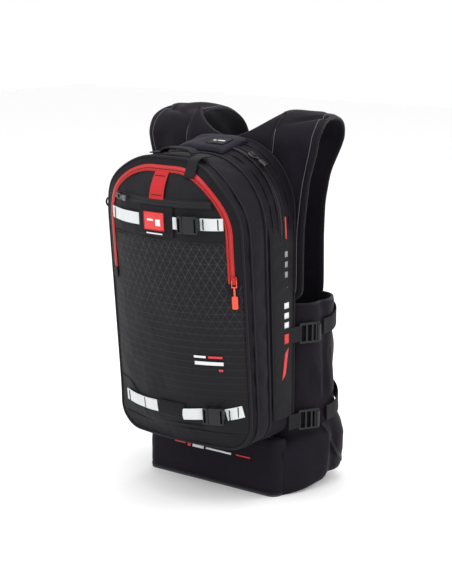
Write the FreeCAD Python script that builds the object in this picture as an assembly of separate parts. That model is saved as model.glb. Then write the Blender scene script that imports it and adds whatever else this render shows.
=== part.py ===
"""Avalanche airbag vest pack, as an assembly of separate pieces.

Units are millimetres. +Z is up, +X is the wearer's right, +Y is the way the wearer faces,
so the pack's outer face looks along -Y. The origin is on the underside of the base panel,
on the centre line, in the plane where the back pad meets the wearer.
"""

import FreeCAD
import Part

import math
import os

from FreeCAD import Placement, Rotation, Vector

# ---------------------------------------------------------------- driving dimensions
# pack body, seen from outside
PACK_HALF_WIDTH = 130.0        # half width over the side seams
PACK_BOTTOM = 85.0             # height of the pack's floor above the hem
FRONT_TOP = 540.0              # top of the gear compartment and of the middle seam
REAR_TOP = FRONT_TOP + 16.0    # top of the rear compartment, at its back seam
TOP_RADIUS = 108.0             # rounding of the two upper corners
BOTTOM_RADIUS = 32.0           # rounding of the two lower corners
SHELL_WALL = 2.5               # fabric and foam wall of the compartments
SEAM_GAP = 0.3                 # space left between pieces that are sewn face to face

# depths, as distances outwards from the wearer's back
PAD_THICKNESS = 11.0           # back pad
VEST_THICKNESS = 8.0           # padded vest cloth
MIDDLE_DEPTH = 76.0            # back plane to the middle seam, at the hem's height
MIDDLE_LEAN_DEG = 2.9          # outward lean of the middle seam
FRONT_DEPTH = 128.0            # back plane to the front edge, at the hem's height
FRONT_LEAN_DEG = 5.0           # outward lean of the front panel
CROWN_HEIGHT = 28.0            # how far the stuffed front panel bulges in its middle

# front panel
FLAP_TAPE = 4.0                # width of the red zip's tape on the flap's side
BODY_TAPE = 9.0                # and on the body's side, which carries the slider
ZIP_JOIN = 0.6                 # space between the two halves
RIM_WIDTH = 8.0                # cloth between the zip and the front edge
FLAP_HEM = FRONT_TOP - 195.0   # where the opening flap folds, along the panel
ZIP_END = FLAP_HEM + 11.0      # lower end of the zip, along the panel
FLAP_TOP_MARGIN = 25.0         # gear compartment's top edge to the flap's top edge
PANEL_THICKNESS = 2.0

# carrying straps over the front panel
STRAP_WIDTH = 20.0
STRAP_THICKNESS = 1.5
UPPER_STRAP = FRONT_TOP - 91.0  # height of the upper strap's middle, along the panel
LOWER_STRAP = 150.0            # height of the lower strap's middle, along the panel
UPPER_SLEEVE = (-34.0, 32.0)   # the strap sleeves' ends, across the panel
LOWER_SLEEVE = (-22.0, 30.0)
SLEEVE_HEIGHT = 46.0
SLEEVE_LIFT = 4.4              # the sleeve's outside above the panel
UPPER_BUCKLE = 51.0            # where each strap's buckle halves meet, across the panel
LOWER_BUCKLE = 73.0

# side release buckles and ladder locks
FEMALE_LENGTH = 25.0
MALE_BASE = 9.0
BUCKLE_THICKNESS = 7.0
PRONG_LENGTH = 16.0
BUCKLE_WALL = 1.5              # walls over and under the prongs
BUCKLE_MARGIN = 7.0            # a buckle is this much wider than its webbing
SOCKET_SIDE = 1.4              # walls beside the prongs
PRONG_CLEARANCE = 0.35
CATCH_HEIGHT = 1.1             # how far a catch stands out from its prong
LADDER_LENGTH = 38.0
LADDER_THICKNESS = 4.0
SIDE_STRAP_WIDTH = 25.0
SIDE_STRAP_THICKNESS = 1.6
LOWER_LADDER = 116.0           # height of the lower ladder locks' middles
LADDER_ANGLE = -28.0           # where on the rear corner they lie, from straight outwards
LADDER_LIFT = 2.6
ANCHOR_GAP = 1.8               # webbing starts this far behind a ladder lock, which tilts
UPPER_STRAP_RISE = 25.0        # each flank strap rises by this on its way to the front
LOWER_STRAP_RISE = 36.0

# vest
CORNER_RADIUS = 46.0           # plan radius of the vest's two corners, outside
SIDE_X = PACK_HALF_WIDTH + 16.0  # outside of the vest's flank
CHEST_Y = 100.0                # outside of the chest panels
SHOULDER_Z = REAR_TOP - 8.0    # where the shoulder arches start
ARMHOLE_BOTTOM = SHOULDER_Z - 248.0
UPPER_LADDER = ARMHOLE_BOTTOM - 43.0  # height of the upper ladder locks' middles
SHOULDER_RISE = 51.0           # centre of the arch above that
SHOULDER_INNER = 80.0          # neck edge of a shoulder, at the back
SHOULDER_WIDTH = 86.0
SHOULDER_SWEEP = 26.0          # how far a shoulder runs inwards on its way forward
NECK_Z = REAR_TOP + 10.0
OPENING_AXIS_X = SIDE_X + 22.0  # the line that each half of the vest swings about
OPENING_AXIS_Y = 20.0
FRONT_EDGE_X = 45.0            # centre edge of a chest panel
HIP_TOP = 110.0
HIP_FLARE = 18.0               # how far the hips stand out from the flank
HIP_WIDEST = 73.0              # height at which they do
HIP_LOW_FLARE = 6.0            # how far they stand out at the hem
HIP_TOP_FLARE = 8.0            # and at their top
HIP_EDGE = 12.0                # the hip pad ends this much further out than the chest panel
HEM_HALF_WIDTH = PACK_HALF_WIDTH + 2.0
HEM_DEPTH = 70.0               # lumbar block's depth at the hem
HEM_SLOPE = 8.0                # how much further in the lumbar block's face is at its top
HEM_TAPER = 2.0                # and how much narrower it is there, each side
HEM_RADIUS = 15.0
REAR_EDGE_RADIUS = 2.0
BASE_THICKNESS = 3.0

# haul handle
HAUL_WIDTH = 66.0
HAUL_HEIGHT = 13.0
HAUL_SETBACK = 38.0            # in front of the middle seam

# airbag system
CYLINDER_RADIUS = 26.0
CYLINDER_LENGTH = 190.0
CYLINDER_BOTTOM = 140.0
NECK_RADIUS = 8.9
NECK_LENGTH = 20.0
HEAD_RADIUS = 17.0
HEAD_HEIGHT = 46.0
CYLINDER_X = -34.0
PIN_RADIUS = 2.0
PIN_LENGTH = 32.0
PIN_TRAVEL = 5.0
AIRBAG_WIDTH = 34.0
AIRBAG_DEPTH = 40.0
HOUSING_RADIUS = 2.5
WIRE_RADIUS = 0.8
WIRE_CLEARANCE = 0.4
HANDLE_TRAVEL = 60.0
HANDLE_X = -84.0
HANDLE_TOP = SHOULDER_Z - 86.0
HANDLE_LENGTH = 92.0

# chest and hip closures
CHEST_STRAPS = (SHOULDER_Z - 118.0, ARMHOLE_BOTTOM + 10.0)  # heights of the two chest straps
HIP_STRAP = 72.0
HIP_STRAP_WIDTH = 30.0
CLOSURE_SOCKET_X = -6.0        # mouth of the three socket halves
CLOSURE_GAP = 4.0              # from the prongs' tips to the sockets, when unclipped
CLOSURE_TAIL = 20.0            # how far a closure strap is sewn over its panel

# zips
SLIDER_WIDTH = 9.0
SLIDER_LIFT = 2.0              # underside of a slider above the tape it rides on
BAIL_TOP = SLIDER_LIFT + 4.8
PULL_AXIS = SLIDER_LIFT + 2.9
POCKET_ZIP = FRONT_TOP - 62.0  # height of the pocket zip, along the panel
POCKET_SLIDER_X = -84.0
MAIN_ZIP_Y = -62.0
MAIN_ZIP_ANGLE = 60.0          # where on the upper corner the main zip's slider rests

# ---------------------------------------------------------------- derived sizes
REAR_Y = -(PAD_THICKNESS + VEST_THICKNESS + 3.0)
ZIP_WIDTH = FLAP_TAPE + BODY_TAPE
FLAP_HALF = PACK_HALF_WIDTH - RIM_WIDTH - ZIP_WIDTH
ZIP_SPLIT = FLAP_HALF + FLAP_TAPE
SLIDER_X = ZIP_SPLIT + SLIDER_WIDTH / 2 + 0.4
FLAP_TOP = FRONT_TOP - FLAP_TOP_MARGIN
FLAP_RADIUS = TOP_RADIUS - FLAP_TOP_MARGIN + 8.0
CROWN_RADIUS = (ZIP_SPLIT**2 + CROWN_HEIGHT**2) / (2 * CROWN_HEIGHT)
CROWN_AXIS_Y = CROWN_RADIUS - CROWN_HEIGHT
FRONT = Placement(Vector(0, -FRONT_DEPTH, 0), Rotation(Vector(1, 0, 0), FRONT_LEAN_DEG))
MIDDLE = Placement(Vector(0, -MIDDLE_DEPTH, 0), Rotation(Vector(1, 0, 0), MIDDLE_LEAN_DEG))
CORNER_X = SIDE_X - CORNER_RADIUS
REAR_CORNER_Y = REAR_Y + 1.0 + CORNER_RADIUS
FRONT_CORNER_Y = CHEST_Y - CORNER_RADIUS
HIP_PROFILE = ((0.0, HIP_LOW_FLARE), (HIP_WIDEST, HIP_FLARE), (HIP_TOP, HIP_TOP_FLARE))
FAR = 2000.0
MAIN_ZIP_CENTRE = Vector(PACK_HALF_WIDTH - TOP_RADIUS, MAIN_ZIP_Y,
                         (REAR_TOP + FRONT_TOP) / 2 - TOP_RADIUS)

nodes = {}


# ---------------------------------------------------------------- shape helpers
def box(x0, x1, y0, y1, z0, z1):
    """A box between two corners."""
    return Part.makeBox(x1 - x0, y1 - y0, z1 - z0, Vector(x0, y0, z0))


def placed(shape, placement):
    """A copy of the shape, moved by the placement."""
    moved = shape.copy()
    moved.Placement = placement.multiply(moved.Placement)
    return moved


def turned(shape, point, axis, degrees):
    """A copy of the shape, turned about an axis through a point."""
    moved = shape.copy()
    moved.rotate(point, axis, degrees)
    return moved


def mirrored(shape):
    """The same piece for the wearer's other side."""
    return shape.mirror(Vector(0, 0, 0), Vector(1, 0, 0))


def joined(shapes):
    """One solid from several that overlap."""
    result = shapes[0].multiFuse(shapes[1:]) if len(shapes) > 1 else shapes[0]
    return result.removeSplitter()


def outline(half, z0, z1, r_top, r_bottom):
    """A pack outline in the XZ plane: a rectangle with large upper and small lower corners."""
    def arc(cx, cz, r, start):
        points = [Vector(cx + r * math.cos(math.radians(start + step)), 0,
                         cz + r * math.sin(math.radians(start + step))) for step in (0, 45, 90)]
        return Part.Arc(*points).toShape()

    def line(xa, za, xb, zb):
        return Part.makeLine(Vector(xa, 0, za), Vector(xb, 0, zb))

    return Part.Wire([
        line(-half + r_bottom, z0, half - r_bottom, z0),
        arc(half - r_bottom, z0 + r_bottom, r_bottom, -90),
        line(half, z0 + r_bottom, half, z1 - r_top),
        arc(half - r_top, z1 - r_top, r_top, 0),
        line(half - r_top, z1, -half + r_top, z1),
        arc(-half + r_top, z1 - r_top, r_top, 90),
        line(-half, z1 - r_top, -half, z0 + r_bottom),
        arc(-half + r_bottom, z0 + r_bottom, r_bottom, 180),
    ])


def pack_outline(top, inset=0.0):
    """The pack's outline at one depth, moved inwards by inset."""
    return outline(PACK_HALF_WIDTH - inset, PACK_BOTTOM + inset, top - inset,
                   TOP_RADIUS - inset, BOTTOM_RADIUS - inset)


def prism(wire, y0, y1):
    """The outline's face carried along Y."""
    face = Part.Face(wire)
    face.translate(Vector(0, y0, 0))
    return face.extrude(Vector(0, y1 - y0, 0))


def rounded_plate(length_x, length_z, thickness, radius, edge=0.0):
    """A plate centred on the Y axis from y=-thickness to 0, with rounded corners and top edges."""
    plate = box(-length_x / 2, length_x / 2, -thickness, 0, -length_z / 2, length_z / 2)
    corners = [e for e in plate.Edges if abs(e.tangentAt(e.FirstParameter).y) > 0.9]
    plate = plate.makeFillet(radius, corners)
    if edge:
        rim = [e for e in plate.Edges if all(abs(v.Y + thickness) < 1e-6 for v in e.Vertexes)]
        plate = plate.makeFillet(edge, rim)
    return plate


def crown_point(radius, degrees):
    """A point of the front panel's frame at that distance and angle from the crown's axis."""
    a = math.radians(degrees)
    return Vector(radius * math.sin(a), CROWN_AXIS_Y - radius * math.cos(a), 0)


def crown_angle(x):
    """The angle about the crown's axis at which the panel is x away from its middle."""
    return math.degrees(math.asin(x / CROWN_RADIUS))


def crown_shell(inner, outer, x0, x1, v0, v1):
    """A strip of the crowned panel between two heights above its surface."""
    a0, a1 = crown_angle(x0), crown_angle(x1)
    r0, r1 = CROWN_RADIUS + inner, CROWN_RADIUS + outer
    mid = (a0 + a1) / 2
    section = Part.Wire([
        Part.Arc(crown_point(r1, a0), crown_point(r1, mid), crown_point(r1, a1)).toShape(),
        Part.makeLine(crown_point(r1, a1), crown_point(r0, a1)),
        Part.Arc(crown_point(r0, a1), crown_point(r0, mid), crown_point(r0, a0)).toShape(),
        Part.makeLine(crown_point(r0, a0), crown_point(r1, a0)),
    ])
    solid = Part.Face(section).extrude(Vector(0, 0, v1 - v0))
    solid.translate(Vector(0, 0, v0))
    return solid


def on_crown(shape, x, v, lift=0.0):
    """Sets a flat piece, drawn about the Y axis and facing -Y, on the crowned panel."""
    moved = shape.copy()
    moved.translate(Vector(0, -CROWN_HEIGHT - lift, v))
    return turned(moved, Vector(0, CROWN_AXIS_Y, 0), Vector(0, 0, 1), crown_angle(x))


def front(shape):
    """From the front panel's frame to the pack's."""
    return placed(shape, FRONT)


def band(stations, heights, width, inner, outer):
    """A strap of that width, through stations of (point, outward direction), at these heights."""
    wires = []
    for (point, direction), height in zip(stations, heights):
        low = Vector(0, 0, height - width / 2)
        high = Vector(0, 0, height + width / 2)
        near, far = point + direction * inner, point + direction * outer
        wires.append(Part.makePolygon([near + low, far + low, far + high, near + high, near + low]))
    return Part.makeLoft(wires, True, True)


def plan_edges(start, corners, end, offset):
    """The vest's plan line at that offset: straight runs joined by corner arcs."""
    radius = CORNER_RADIUS + offset
    edges, here = [], start
    for cx, cy, first, last in corners:
        arc = [Vector(cx + radius * math.cos(math.radians(a)), cy + radius * math.sin(math.radians(a)), 0)
               for a in (first, (first + last) / 2, last)]
        if (arc[0] - here).Length > 1e-6:
            edges.append(Part.makeLine(here, arc[0]))
        edges.append(Part.Arc(*arc).toShape())
        here = arc[2]
    if end is not None:
        edges.append(Part.makeLine(here, end))
        here = end
    return edges, here


def plan_section(start_at, corners, end_at, offset, z):
    """The closed outline of a padded wall that follows the vest's plan line, at one height."""
    def at(point_at, extra):
        return point_at(extra) if point_at else None

    outer, outer_end = plan_edges(at(start_at, offset), corners, at(end_at, offset), offset)
    inset = offset - VEST_THICKNESS
    inner, inner_end = plan_edges(at(start_at, inset), corners, at(end_at, inset), inset)
    closing = [Part.makeLine(outer_end, inner_end),
               Part.makeLine(at(start_at, inset), at(start_at, offset))]
    wire = Part.Wire(Part.__sortEdges__(outer + inner + closing))
    wire.translate(Vector(0, 0, z))
    return wire


def padded_wall(start_at, corners, end_at, profile):
    """A wall along the vest's plan line, whose offset from it changes with height."""
    sections = [plan_section(start_at, corners, end_at, offset, z) for z, offset in profile]
    return Part.makeLoft(sections, True, True)


# ---------------------------------------------------------------- hardware
def side_release(width):
    """The two halves of a side release buckle for webbing of that width, meeting at x=0.

    The socket half reaches to +x and the pronged half's base to -x, with its prongs in the socket.
    """
    height = width + BUCKLE_MARGIN
    wall = BUCKLE_WALL
    clear = PRONG_CLEARANCE
    hollow_depth = PRONG_LENGTH + 1.0
    inner = height / 2 - SOCKET_SIDE
    socket = rounded_plate(FEMALE_LENGTH, height, BUCKLE_THICKNESS, 3.0, 1.0)
    socket.translate(Vector(FEMALE_LENGTH / 2, 0, 0))
    hollow = box(-1, hollow_depth, -BUCKLE_THICKNESS + wall, -wall, -inner, inner)
    windows = [box(5, 13, -BUCKLE_THICKNESS + wall, -wall, side * height / 2 - 4, side * height / 2 + 4)
               for side in (-1, 1)]
    slot = box(FEMALE_LENGTH - 5.5, FEMALE_LENGTH - 2.5, -FAR, FAR, -width / 2 - 0.5, width / 2 + 0.5)
    socket = socket.cut(joined([hollow] + windows)).cut(slot)

    base = rounded_plate(MALE_BASE, height, BUCKLE_THICKNESS, 2.5, 1.0)
    base.translate(Vector(-MALE_BASE / 2 - SEAM_GAP, 0, 0))
    slot = box(-MALE_BASE + 1.8, -MALE_BASE + 4.8, -FAR, FAR, -width / 2 - 0.5, width / 2 + 0.5)
    base = base.cut(slot)
    y0, y1 = -BUCKLE_THICKNESS + wall + clear, -wall - clear
    reach = inner - clear - CATCH_HEIGHT
    prongs = [box(-2, PRONG_LENGTH, y0, y1, *sorted((side * reach, side * (reach - 3.2))))
              for side in (-1, 1)]
    catches = [box(5.6, 12.2, y0, y1, *sorted((side * reach, side * (reach + CATCH_HEIGHT))))
               for side in (-1, 1)]
    tongue = box(-2, PRONG_LENGTH - 1.0, y0, y1, -2.0, 2.0)
    return socket, joined([base, tongue] + prongs + catches)


def ladder_lock(width):
    """A ladder lock facing -Y, with its anchor bar at -x and its lifting lip at +x."""
    height = width + 8.0
    plate = rounded_plate(LADDER_LENGTH, height, LADDER_THICKNESS, 4.0, 1.2)
    half = LADDER_LENGTH / 2
    slots = [box(x0, x1, -FAR, FAR, -width / 2 - 0.5, width / 2 + 0.5)
             for x0, x1 in ((-half + 4, -half + 12), (-half + 15, -half + 22), (-half + 25, -half + 29))]
    plate = plate.cut(joined(slots))
    lip = Part.makeCylinder(3.0, height - 8.0, Vector(half - 3.4, -LADDER_THICKNESS, -height / 2 + 4))
    return joined([plate, lip.common(box(0, FAR, -FAR, -1.0, -FAR, FAR))])


def zip_slider(along_z=True):
    """A zip slider facing -Y, riding along Z, with the hole of its bail about the X axis."""
    body = rounded_plate(SLIDER_WIDTH, 13.0, 2.0, 3.0, 0.6)
    body.translate(Vector(0, -SLIDER_LIFT, 0))
    spine = box(-1.4, 1.4, -BAIL_TOP, -SLIDER_LIFT - 1.0, -4.6, 4.6)
    hole = box(-2, 2, -BAIL_TOP + 1.1, -SLIDER_LIFT - 2.0, -3.0, 3.0)
    solid = joined([body, spine.cut(hole)])
    if along_z:
        return solid
    return turned(solid, Vector(0, 0, 0), Vector(0, 1, 0), 90)


def zip_pull(length, grip):
    """A pull hanging from a slider's bail: a pin, two arms and a grip below them."""
    y = -PULL_AXIS
    pin = Part.makeCylinder(0.6, 8.4, Vector(-4.2, y, 0), Vector(1, 0, 0))
    arms = [box(x, x + 1.2, y - 0.6, y + 0.6, -9.5, 0.6) for x in (-4.2, 3.0)]
    cross = box(-4.2, 4.2, y - 0.6, y + 0.6, -10.7, -9.0)
    neck = box(-1.4, 1.4, y - 0.7, y + 0.7, -length + grip - 2.0, -10.0)
    tab = rounded_plate(9.0, grip, 2.2, 2.0, 0.5)
    tab.translate(Vector(0, y + 1.1, -length + grip / 2))
    return joined([pin] + arms + [cross, neck, tab])


# ---------------------------------------------------------------- pack shells
def build_shells():
    """The two compartments, the wall between them and the covers on the rear one."""
    rear_plane = Placement(Vector(0, REAR_Y, 0), Rotation())

    def ruled(top_rear, top_middle, inset):
        back = pack_outline(top_rear, inset)
        back.Placement = rear_plane
        middle = pack_outline(top_middle, inset)
        middle.Placement = MIDDLE
        return Part.makeLoft([back, middle], True, True)

    outer = ruled(REAR_TOP, FRONT_TOP, 0.0)
    nodes["rear_shell"] = outer.cut(ruled(REAR_TOP, FRONT_TOP, SHELL_WALL))

    divider = prism(pack_outline(FRONT_TOP, 0.0), -SEAM_GAP - PANEL_THICKNESS, -SEAM_GAP)
    nodes["divider_panel"] = placed(divider, MIDDLE)

    # the gear compartment's gusset runs from the divider to the crowned front edge
    gusset = prism(pack_outline(FRONT_TOP - 2.0), -60, 90)
    gusset = gusset.cut(prism(pack_outline(FRONT_TOP - 2.0, SHELL_WALL), -70, 100))
    crown_base = Vector(0, CROWN_AXIS_Y, -FAR / 2)
    crown = Part.makeCylinder(CROWN_RADIUS - PANEL_THICKNESS - SEAM_GAP, FAR, crown_base)
    gusset = placed(gusset.common(crown), FRONT)
    behind = placed(box(-FAR, FAR, -2 * SEAM_GAP - PANEL_THICKNESS, FAR, -FAR, FAR), MIDDLE)
    nodes["gear_shell"] = gusset.cut(behind)

    # covers lying on the rear shell: the lid over the main zip and the two burst seams
    lifted = ruled(REAR_TOP, FRONT_TOP, -2.4).cut(ruled(REAR_TOP, FRONT_TOP, -0.4))
    nodes["top_flap"] = lifted.common(box(-58, 58, -93, REAR_Y - 8, FRONT_TOP - 60, FAR))
    strip = box(PACK_HALF_WIDTH - 20, FAR, -68, REAR_Y - 5, PACK_BOTTOM + 40, REAR_TOP - TOP_RADIUS)
    cover = lifted.common(strip)
    nodes["burst_covers"] = Part.Compound([cover, mirrored(cover)])


# ---------------------------------------------------------------- front panel
def build_front():
    """The crowned front: lower panel, opening flap, zip, straps, sleeve and buckles."""
    thick = PANEL_THICKNESS
    edge = PACK_HALF_WIDTH + 5.0
    deep = (-70, 70)
    full = crown_shell(-thick, 0.0, -edge, edge, 0, FAR / 2)

    def within(top, inset, radius, bottom):
        wire = outline(PACK_HALF_WIDTH - inset, bottom, top, radius, 1.0)
        return prism(wire, *deep)

    edge_area = prism(pack_outline(FRONT_TOP - 2.0, SEAM_GAP), *deep)

    def u_shape(growth, bottom):
        return within(FLAP_TOP + growth, RIM_WIDTH + ZIP_WIDTH - growth, FLAP_RADIUS + growth, bottom)

    rim_area = u_shape(ZIP_WIDTH, ZIP_END)
    fold_area = u_shape(FLAP_TAPE, FLAP_HEM - SEAM_GAP)
    body_tape = u_shape(ZIP_WIDTH - SEAM_GAP, ZIP_END + SEAM_GAP)
    nodes["front_panel"] = front(full.common(edge_area.cut(rim_area).cut(fold_area)))
    nodes["zip_tape_body"] = front(full.common(body_tape).cut(u_shape(FLAP_TAPE + ZIP_JOIN, ZIP_END - 20)))
    flap_tape = u_shape(FLAP_TAPE, ZIP_END).cut(u_shape(SEAM_GAP, FLAP_HEM - 1))
    nodes["zip_tape_flap"] = front(full.common(flap_tape))
    nodes["front_flap"] = front(full.common(u_shape(0.0, FLAP_HEM)))

    def strap(x0, x1, v):
        return crown_shell(SEAM_GAP, SEAM_GAP + STRAP_THICKNESS, x0, x1,
                           v - STRAP_WIDTH / 2, v + STRAP_WIDTH / 2)

    def sleeve(x0, x1, v):
        low, high = v - SLEEVE_HEIGHT / 2, v + SLEEVE_HEIGHT / 2
        shell = crown_shell(SEAM_GAP, SLEEVE_LIFT, x0, x1, low, high)
        tunnel = crown_shell(-5, SLEEVE_LIFT - 1.6, x0 - 5, x1 + 5, low + 3, high - 3)
        return shell.cut(tunnel)

    socket, prongs = side_release(STRAP_WIDTH)
    lift = SLEEVE_LIFT + 0.4
    for name, v, (x0, x1), meet in (("upper", UPPER_STRAP, UPPER_SLEEVE, UPPER_BUCKLE),
                                    ("lower", LOWER_STRAP, LOWER_SLEEVE, LOWER_BUCKLE)):
        tail_end = FLAP_HALF - 1.0 if name == "upper" else PACK_HALF_WIDTH - RIM_WIDTH - 1.0
        left, right = strap(-tail_end, x0 + 12, v), strap(meet + FEMALE_LENGTH + 1.0, tail_end, v)
        if name == "upper":
            left, right = left.common(u_shape(-1.0, 0.0)), right.common(u_shape(-1.0, 0.0))
        tail = strap(x1 - 14, meet - MALE_BASE - 0.8, v)
        nodes[name + "_carry_strap"] = front(Part.Compound([left, tail, right]))
        nodes[name + "_sleeve"] = front(sleeve(x0, x1, v))
        nodes[name + "_buckle_socket"] = front(on_crown(socket, meet, v, lift))
        nodes[name + "_buckle_prongs"] = front(on_crown(prongs, meet, v, lift))

    # zip sliders and their pulls
    slider_v = ZIP_END + 8.0
    nodes["front_zip_slider"] = front(on_crown(zip_slider(), SLIDER_X, slider_v))
    nodes["front_zip_pull"] = front(on_crown(zip_pull(44.0, 20.0), SLIDER_X, slider_v))
    pocket = zip_slider(along_z=False)
    pull = turned(zip_pull(26.0, 12.0), Vector(0, 0, 0), Vector(0, 1, 0), -90)
    nodes["pocket_zip_slider"] = front(on_crown(pocket, POCKET_SLIDER_X, POCKET_ZIP))
    nodes["pocket_zip_pull"] = front(on_crown(pull, POCKET_SLIDER_X, POCKET_ZIP))


# ---------------------------------------------------------------- main zip, on the rear shell
def build_main_zip():
    """The slider of the zip over the pack's top, which rides round the upper corner."""
    def on_corner(shape):
        stood = turned(shape, Vector(0, 0, 0), Vector(0, 0, 1), 90)
        stood.translate(Vector(MAIN_ZIP_CENTRE.x + TOP_RADIUS + 1.6, MAIN_ZIP_Y, MAIN_ZIP_CENTRE.z))
        return turned(stood, MAIN_ZIP_CENTRE, Vector(0, -1, 0), MAIN_ZIP_ANGLE)

    nodes["main_zip_slider"] = on_corner(zip_slider())
    nodes["main_zip_pull"] = on_corner(zip_pull(30.0, 14.0))


# ---------------------------------------------------------------- vest
def armhole_outline(front_side):
    """Half outline of a vest panel in the XZ plane, from its centre to the armhole."""
    if front_side:
        inner = SHOULDER_INNER - SHOULDER_SWEEP
        points = [(FRONT_EDGE_X, HIP_TOP + 12), (CORNER_X - 1, HIP_TOP + 12), (CORNER_X - 1, ARMHOLE_BOTTOM),
                  (CORNER_X + 4, ARMHOLE_BOTTOM + 4), (CORNER_X + 3, SHOULDER_Z - 148),
                  (CORNER_X + 5, SHOULDER_Z - 98), (CORNER_X + 14, SHOULDER_Z - 48),
                  (inner + SHOULDER_WIDTH, SHOULDER_Z), (inner, SHOULDER_Z),
                  (FRONT_EDGE_X, SHOULDER_Z - 58)]
    else:
        side = PACK_HALF_WIDTH - 6
        points = [(0, PACK_BOTTOM + 4), (CORNER_X - 1, PACK_BOTTOM + 4), (CORNER_X - 1, ARMHOLE_BOTTOM + 2),
                  (side + 8, ARMHOLE_BOTTOM + 6), (side + 6, SHOULDER_Z - 128),
                  (side + 20, SHOULDER_Z - 48), (SHOULDER_INNER + SHOULDER_WIDTH, SHOULDER_Z),
                  (SHOULDER_INNER, SHOULDER_Z), (SHOULDER_INNER - 10, NECK_Z), (0, NECK_Z)]
    return Part.makePolygon([Vector(x, 0, z) for x, z in points + points[:1]])


def shoulder_stations(start, end, steps):
    """Points of the shoulder arch, as (angle, y, z, inner x), from back (180) to front (0)."""
    centre_y = (CHEST_Y - VEST_THICKNESS / 2 + REAR_Y + 1.0 + VEST_THICKNESS / 2) / 2
    reach = CHEST_Y - VEST_THICKNESS / 2 - centre_y
    result = []
    for step in range(steps + 1):
        angle = start + (end - start) * step / steps
        a = math.radians(angle)
        share = (180 - angle) / 180
        result.append((angle, centre_y + reach * math.cos(a), SHOULDER_Z + SHOULDER_RISE * math.sin(a),
                       SHOULDER_INNER - SHOULDER_SWEEP * share))
    return result


def shoulder_angle(y):
    """The arch angle at which the shoulder's centre line passes that depth."""
    first, last = shoulder_stations(180, 0, 1)
    centre, reach = (first[1] + last[1]) / 2, (last[1] - first[1]) / 2
    return math.degrees(math.acos((y - centre) / reach))


def shoulder(start, end, steps):
    """A stretch of a padded shoulder between two arch angles."""
    wires = []
    half = VEST_THICKNESS / 2
    for angle, y, z, inner in shoulder_stations(start, end, steps):
        a = math.radians(angle)
        out = Vector(0, math.cos(a), math.sin(a))
        near, far = Vector(inner, y, z) - out * half, Vector(inner, y, z) + out * half
        across = Vector(SHOULDER_WIDTH, 0, 0)
        wires.append(Part.makePolygon([near, far, far + across, near + across, near]))
    return Part.makeLoft(wires, True, True)


def hip_offset(z):
    """How far the hip pad's face stands out from the flank at that height."""
    for (low, near), (high, far) in zip(HIP_PROFILE, HIP_PROFILE[1:]):
        if z <= high:
            return near + (far - near) * (z - low) / (high - low)
    return HIP_PROFILE[-1][1]


def build_vest():
    """The vest: back with its shoulders, harness straps, flanks and hips, each a padded piece."""
    back_y = REAR_Y + 1.0
    split = shoulder_angle(OPENING_AXIS_Y)
    half = Part.Face(armhole_outline(False)).extrude(Vector(0, VEST_THICKNESS, 0))
    half.translate(Vector(0, back_y, 0))
    half = joined([half, shoulder(180, split + 1.0, 5)])
    nodes["vest_back"] = joined([half, mirrored(half)])

    height = NECK_Z - 40 - PACK_BOTTOM - 14
    pad = rounded_plate(2 * (CORNER_X - 6), height, PAD_THICKNESS - SEAM_GAP * 2, 40.0, 4.0)
    pad = turned(pad, Vector(0, 0, 0), Vector(0, 0, 1), 180)
    pad.translate(Vector(0, back_y + VEST_THICKNESS + SEAM_GAP, (NECK_Z - 26 + PACK_BOTTOM) / 2))
    nodes["back_pad"] = pad

    chest = Part.Face(armhole_outline(True)).extrude(Vector(0, VEST_THICKNESS, 0))
    chest.translate(Vector(0, CHEST_Y - VEST_THICKNESS, 0))

    def back_start(extra):
        return Vector(CORNER_X, REAR_CORNER_Y - CORNER_RADIUS - extra, 0)

    def split_start(extra):
        return Vector(SIDE_X + extra, OPENING_AXIS_Y + 1.0, 0)

    def hip_end(extra):
        return Vector(FRONT_EDGE_X + HIP_EDGE, CHEST_Y + extra, 0)

    rear_corner = [(CORNER_X, REAR_CORNER_Y, -90, split_corner_angle())]
    front_corner = [(CORNER_X, FRONT_CORNER_Y, 0, 90)]
    above_hip = ((HIP_TOP + 2, 0.0), (ARMHOLE_BOTTOM, 0.0))
    above_hem = ((PACK_BOTTOM + 1, 0.0), (ARMHOLE_BOTTOM, 0.0))
    pieces = {
        "harness": joined([shoulder(split - 1.0, 0, 9), chest]),
        "flank_front": padded_wall(split_start, front_corner, None, above_hip),
        "hip_front": padded_wall(split_start, front_corner, hip_end, HIP_PROFILE),
    }
    for name, shape in pieces.items():
        nodes[name + "_right"] = shape
        nodes[name + "_left"] = mirrored(shape)
    rear_flank = padded_wall(back_start, rear_corner, None, above_hem)
    nodes["flanks_back"] = Part.Compound([rear_flank, mirrored(rear_flank)])

    def centre_start(extra):
        return Vector(0, REAR_CORNER_Y - CORNER_RADIUS - extra, 0)

    pad_top = PACK_BOTTOM - 1.0
    low_profile = HIP_PROFILE[:2] + ((pad_top, hip_offset(pad_top)),)
    half = padded_wall(centre_start, rear_corner, None, low_profile)
    nodes["hip_pad_back"] = joined([half, mirrored(half)])


def split_corner_angle():
    """Where on the rear corner the flank's back piece ends."""
    return math.degrees(math.asin(min(1.0, (OPENING_AXIS_Y - 1.0 - REAR_CORNER_Y) / CORNER_RADIUS)))


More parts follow.
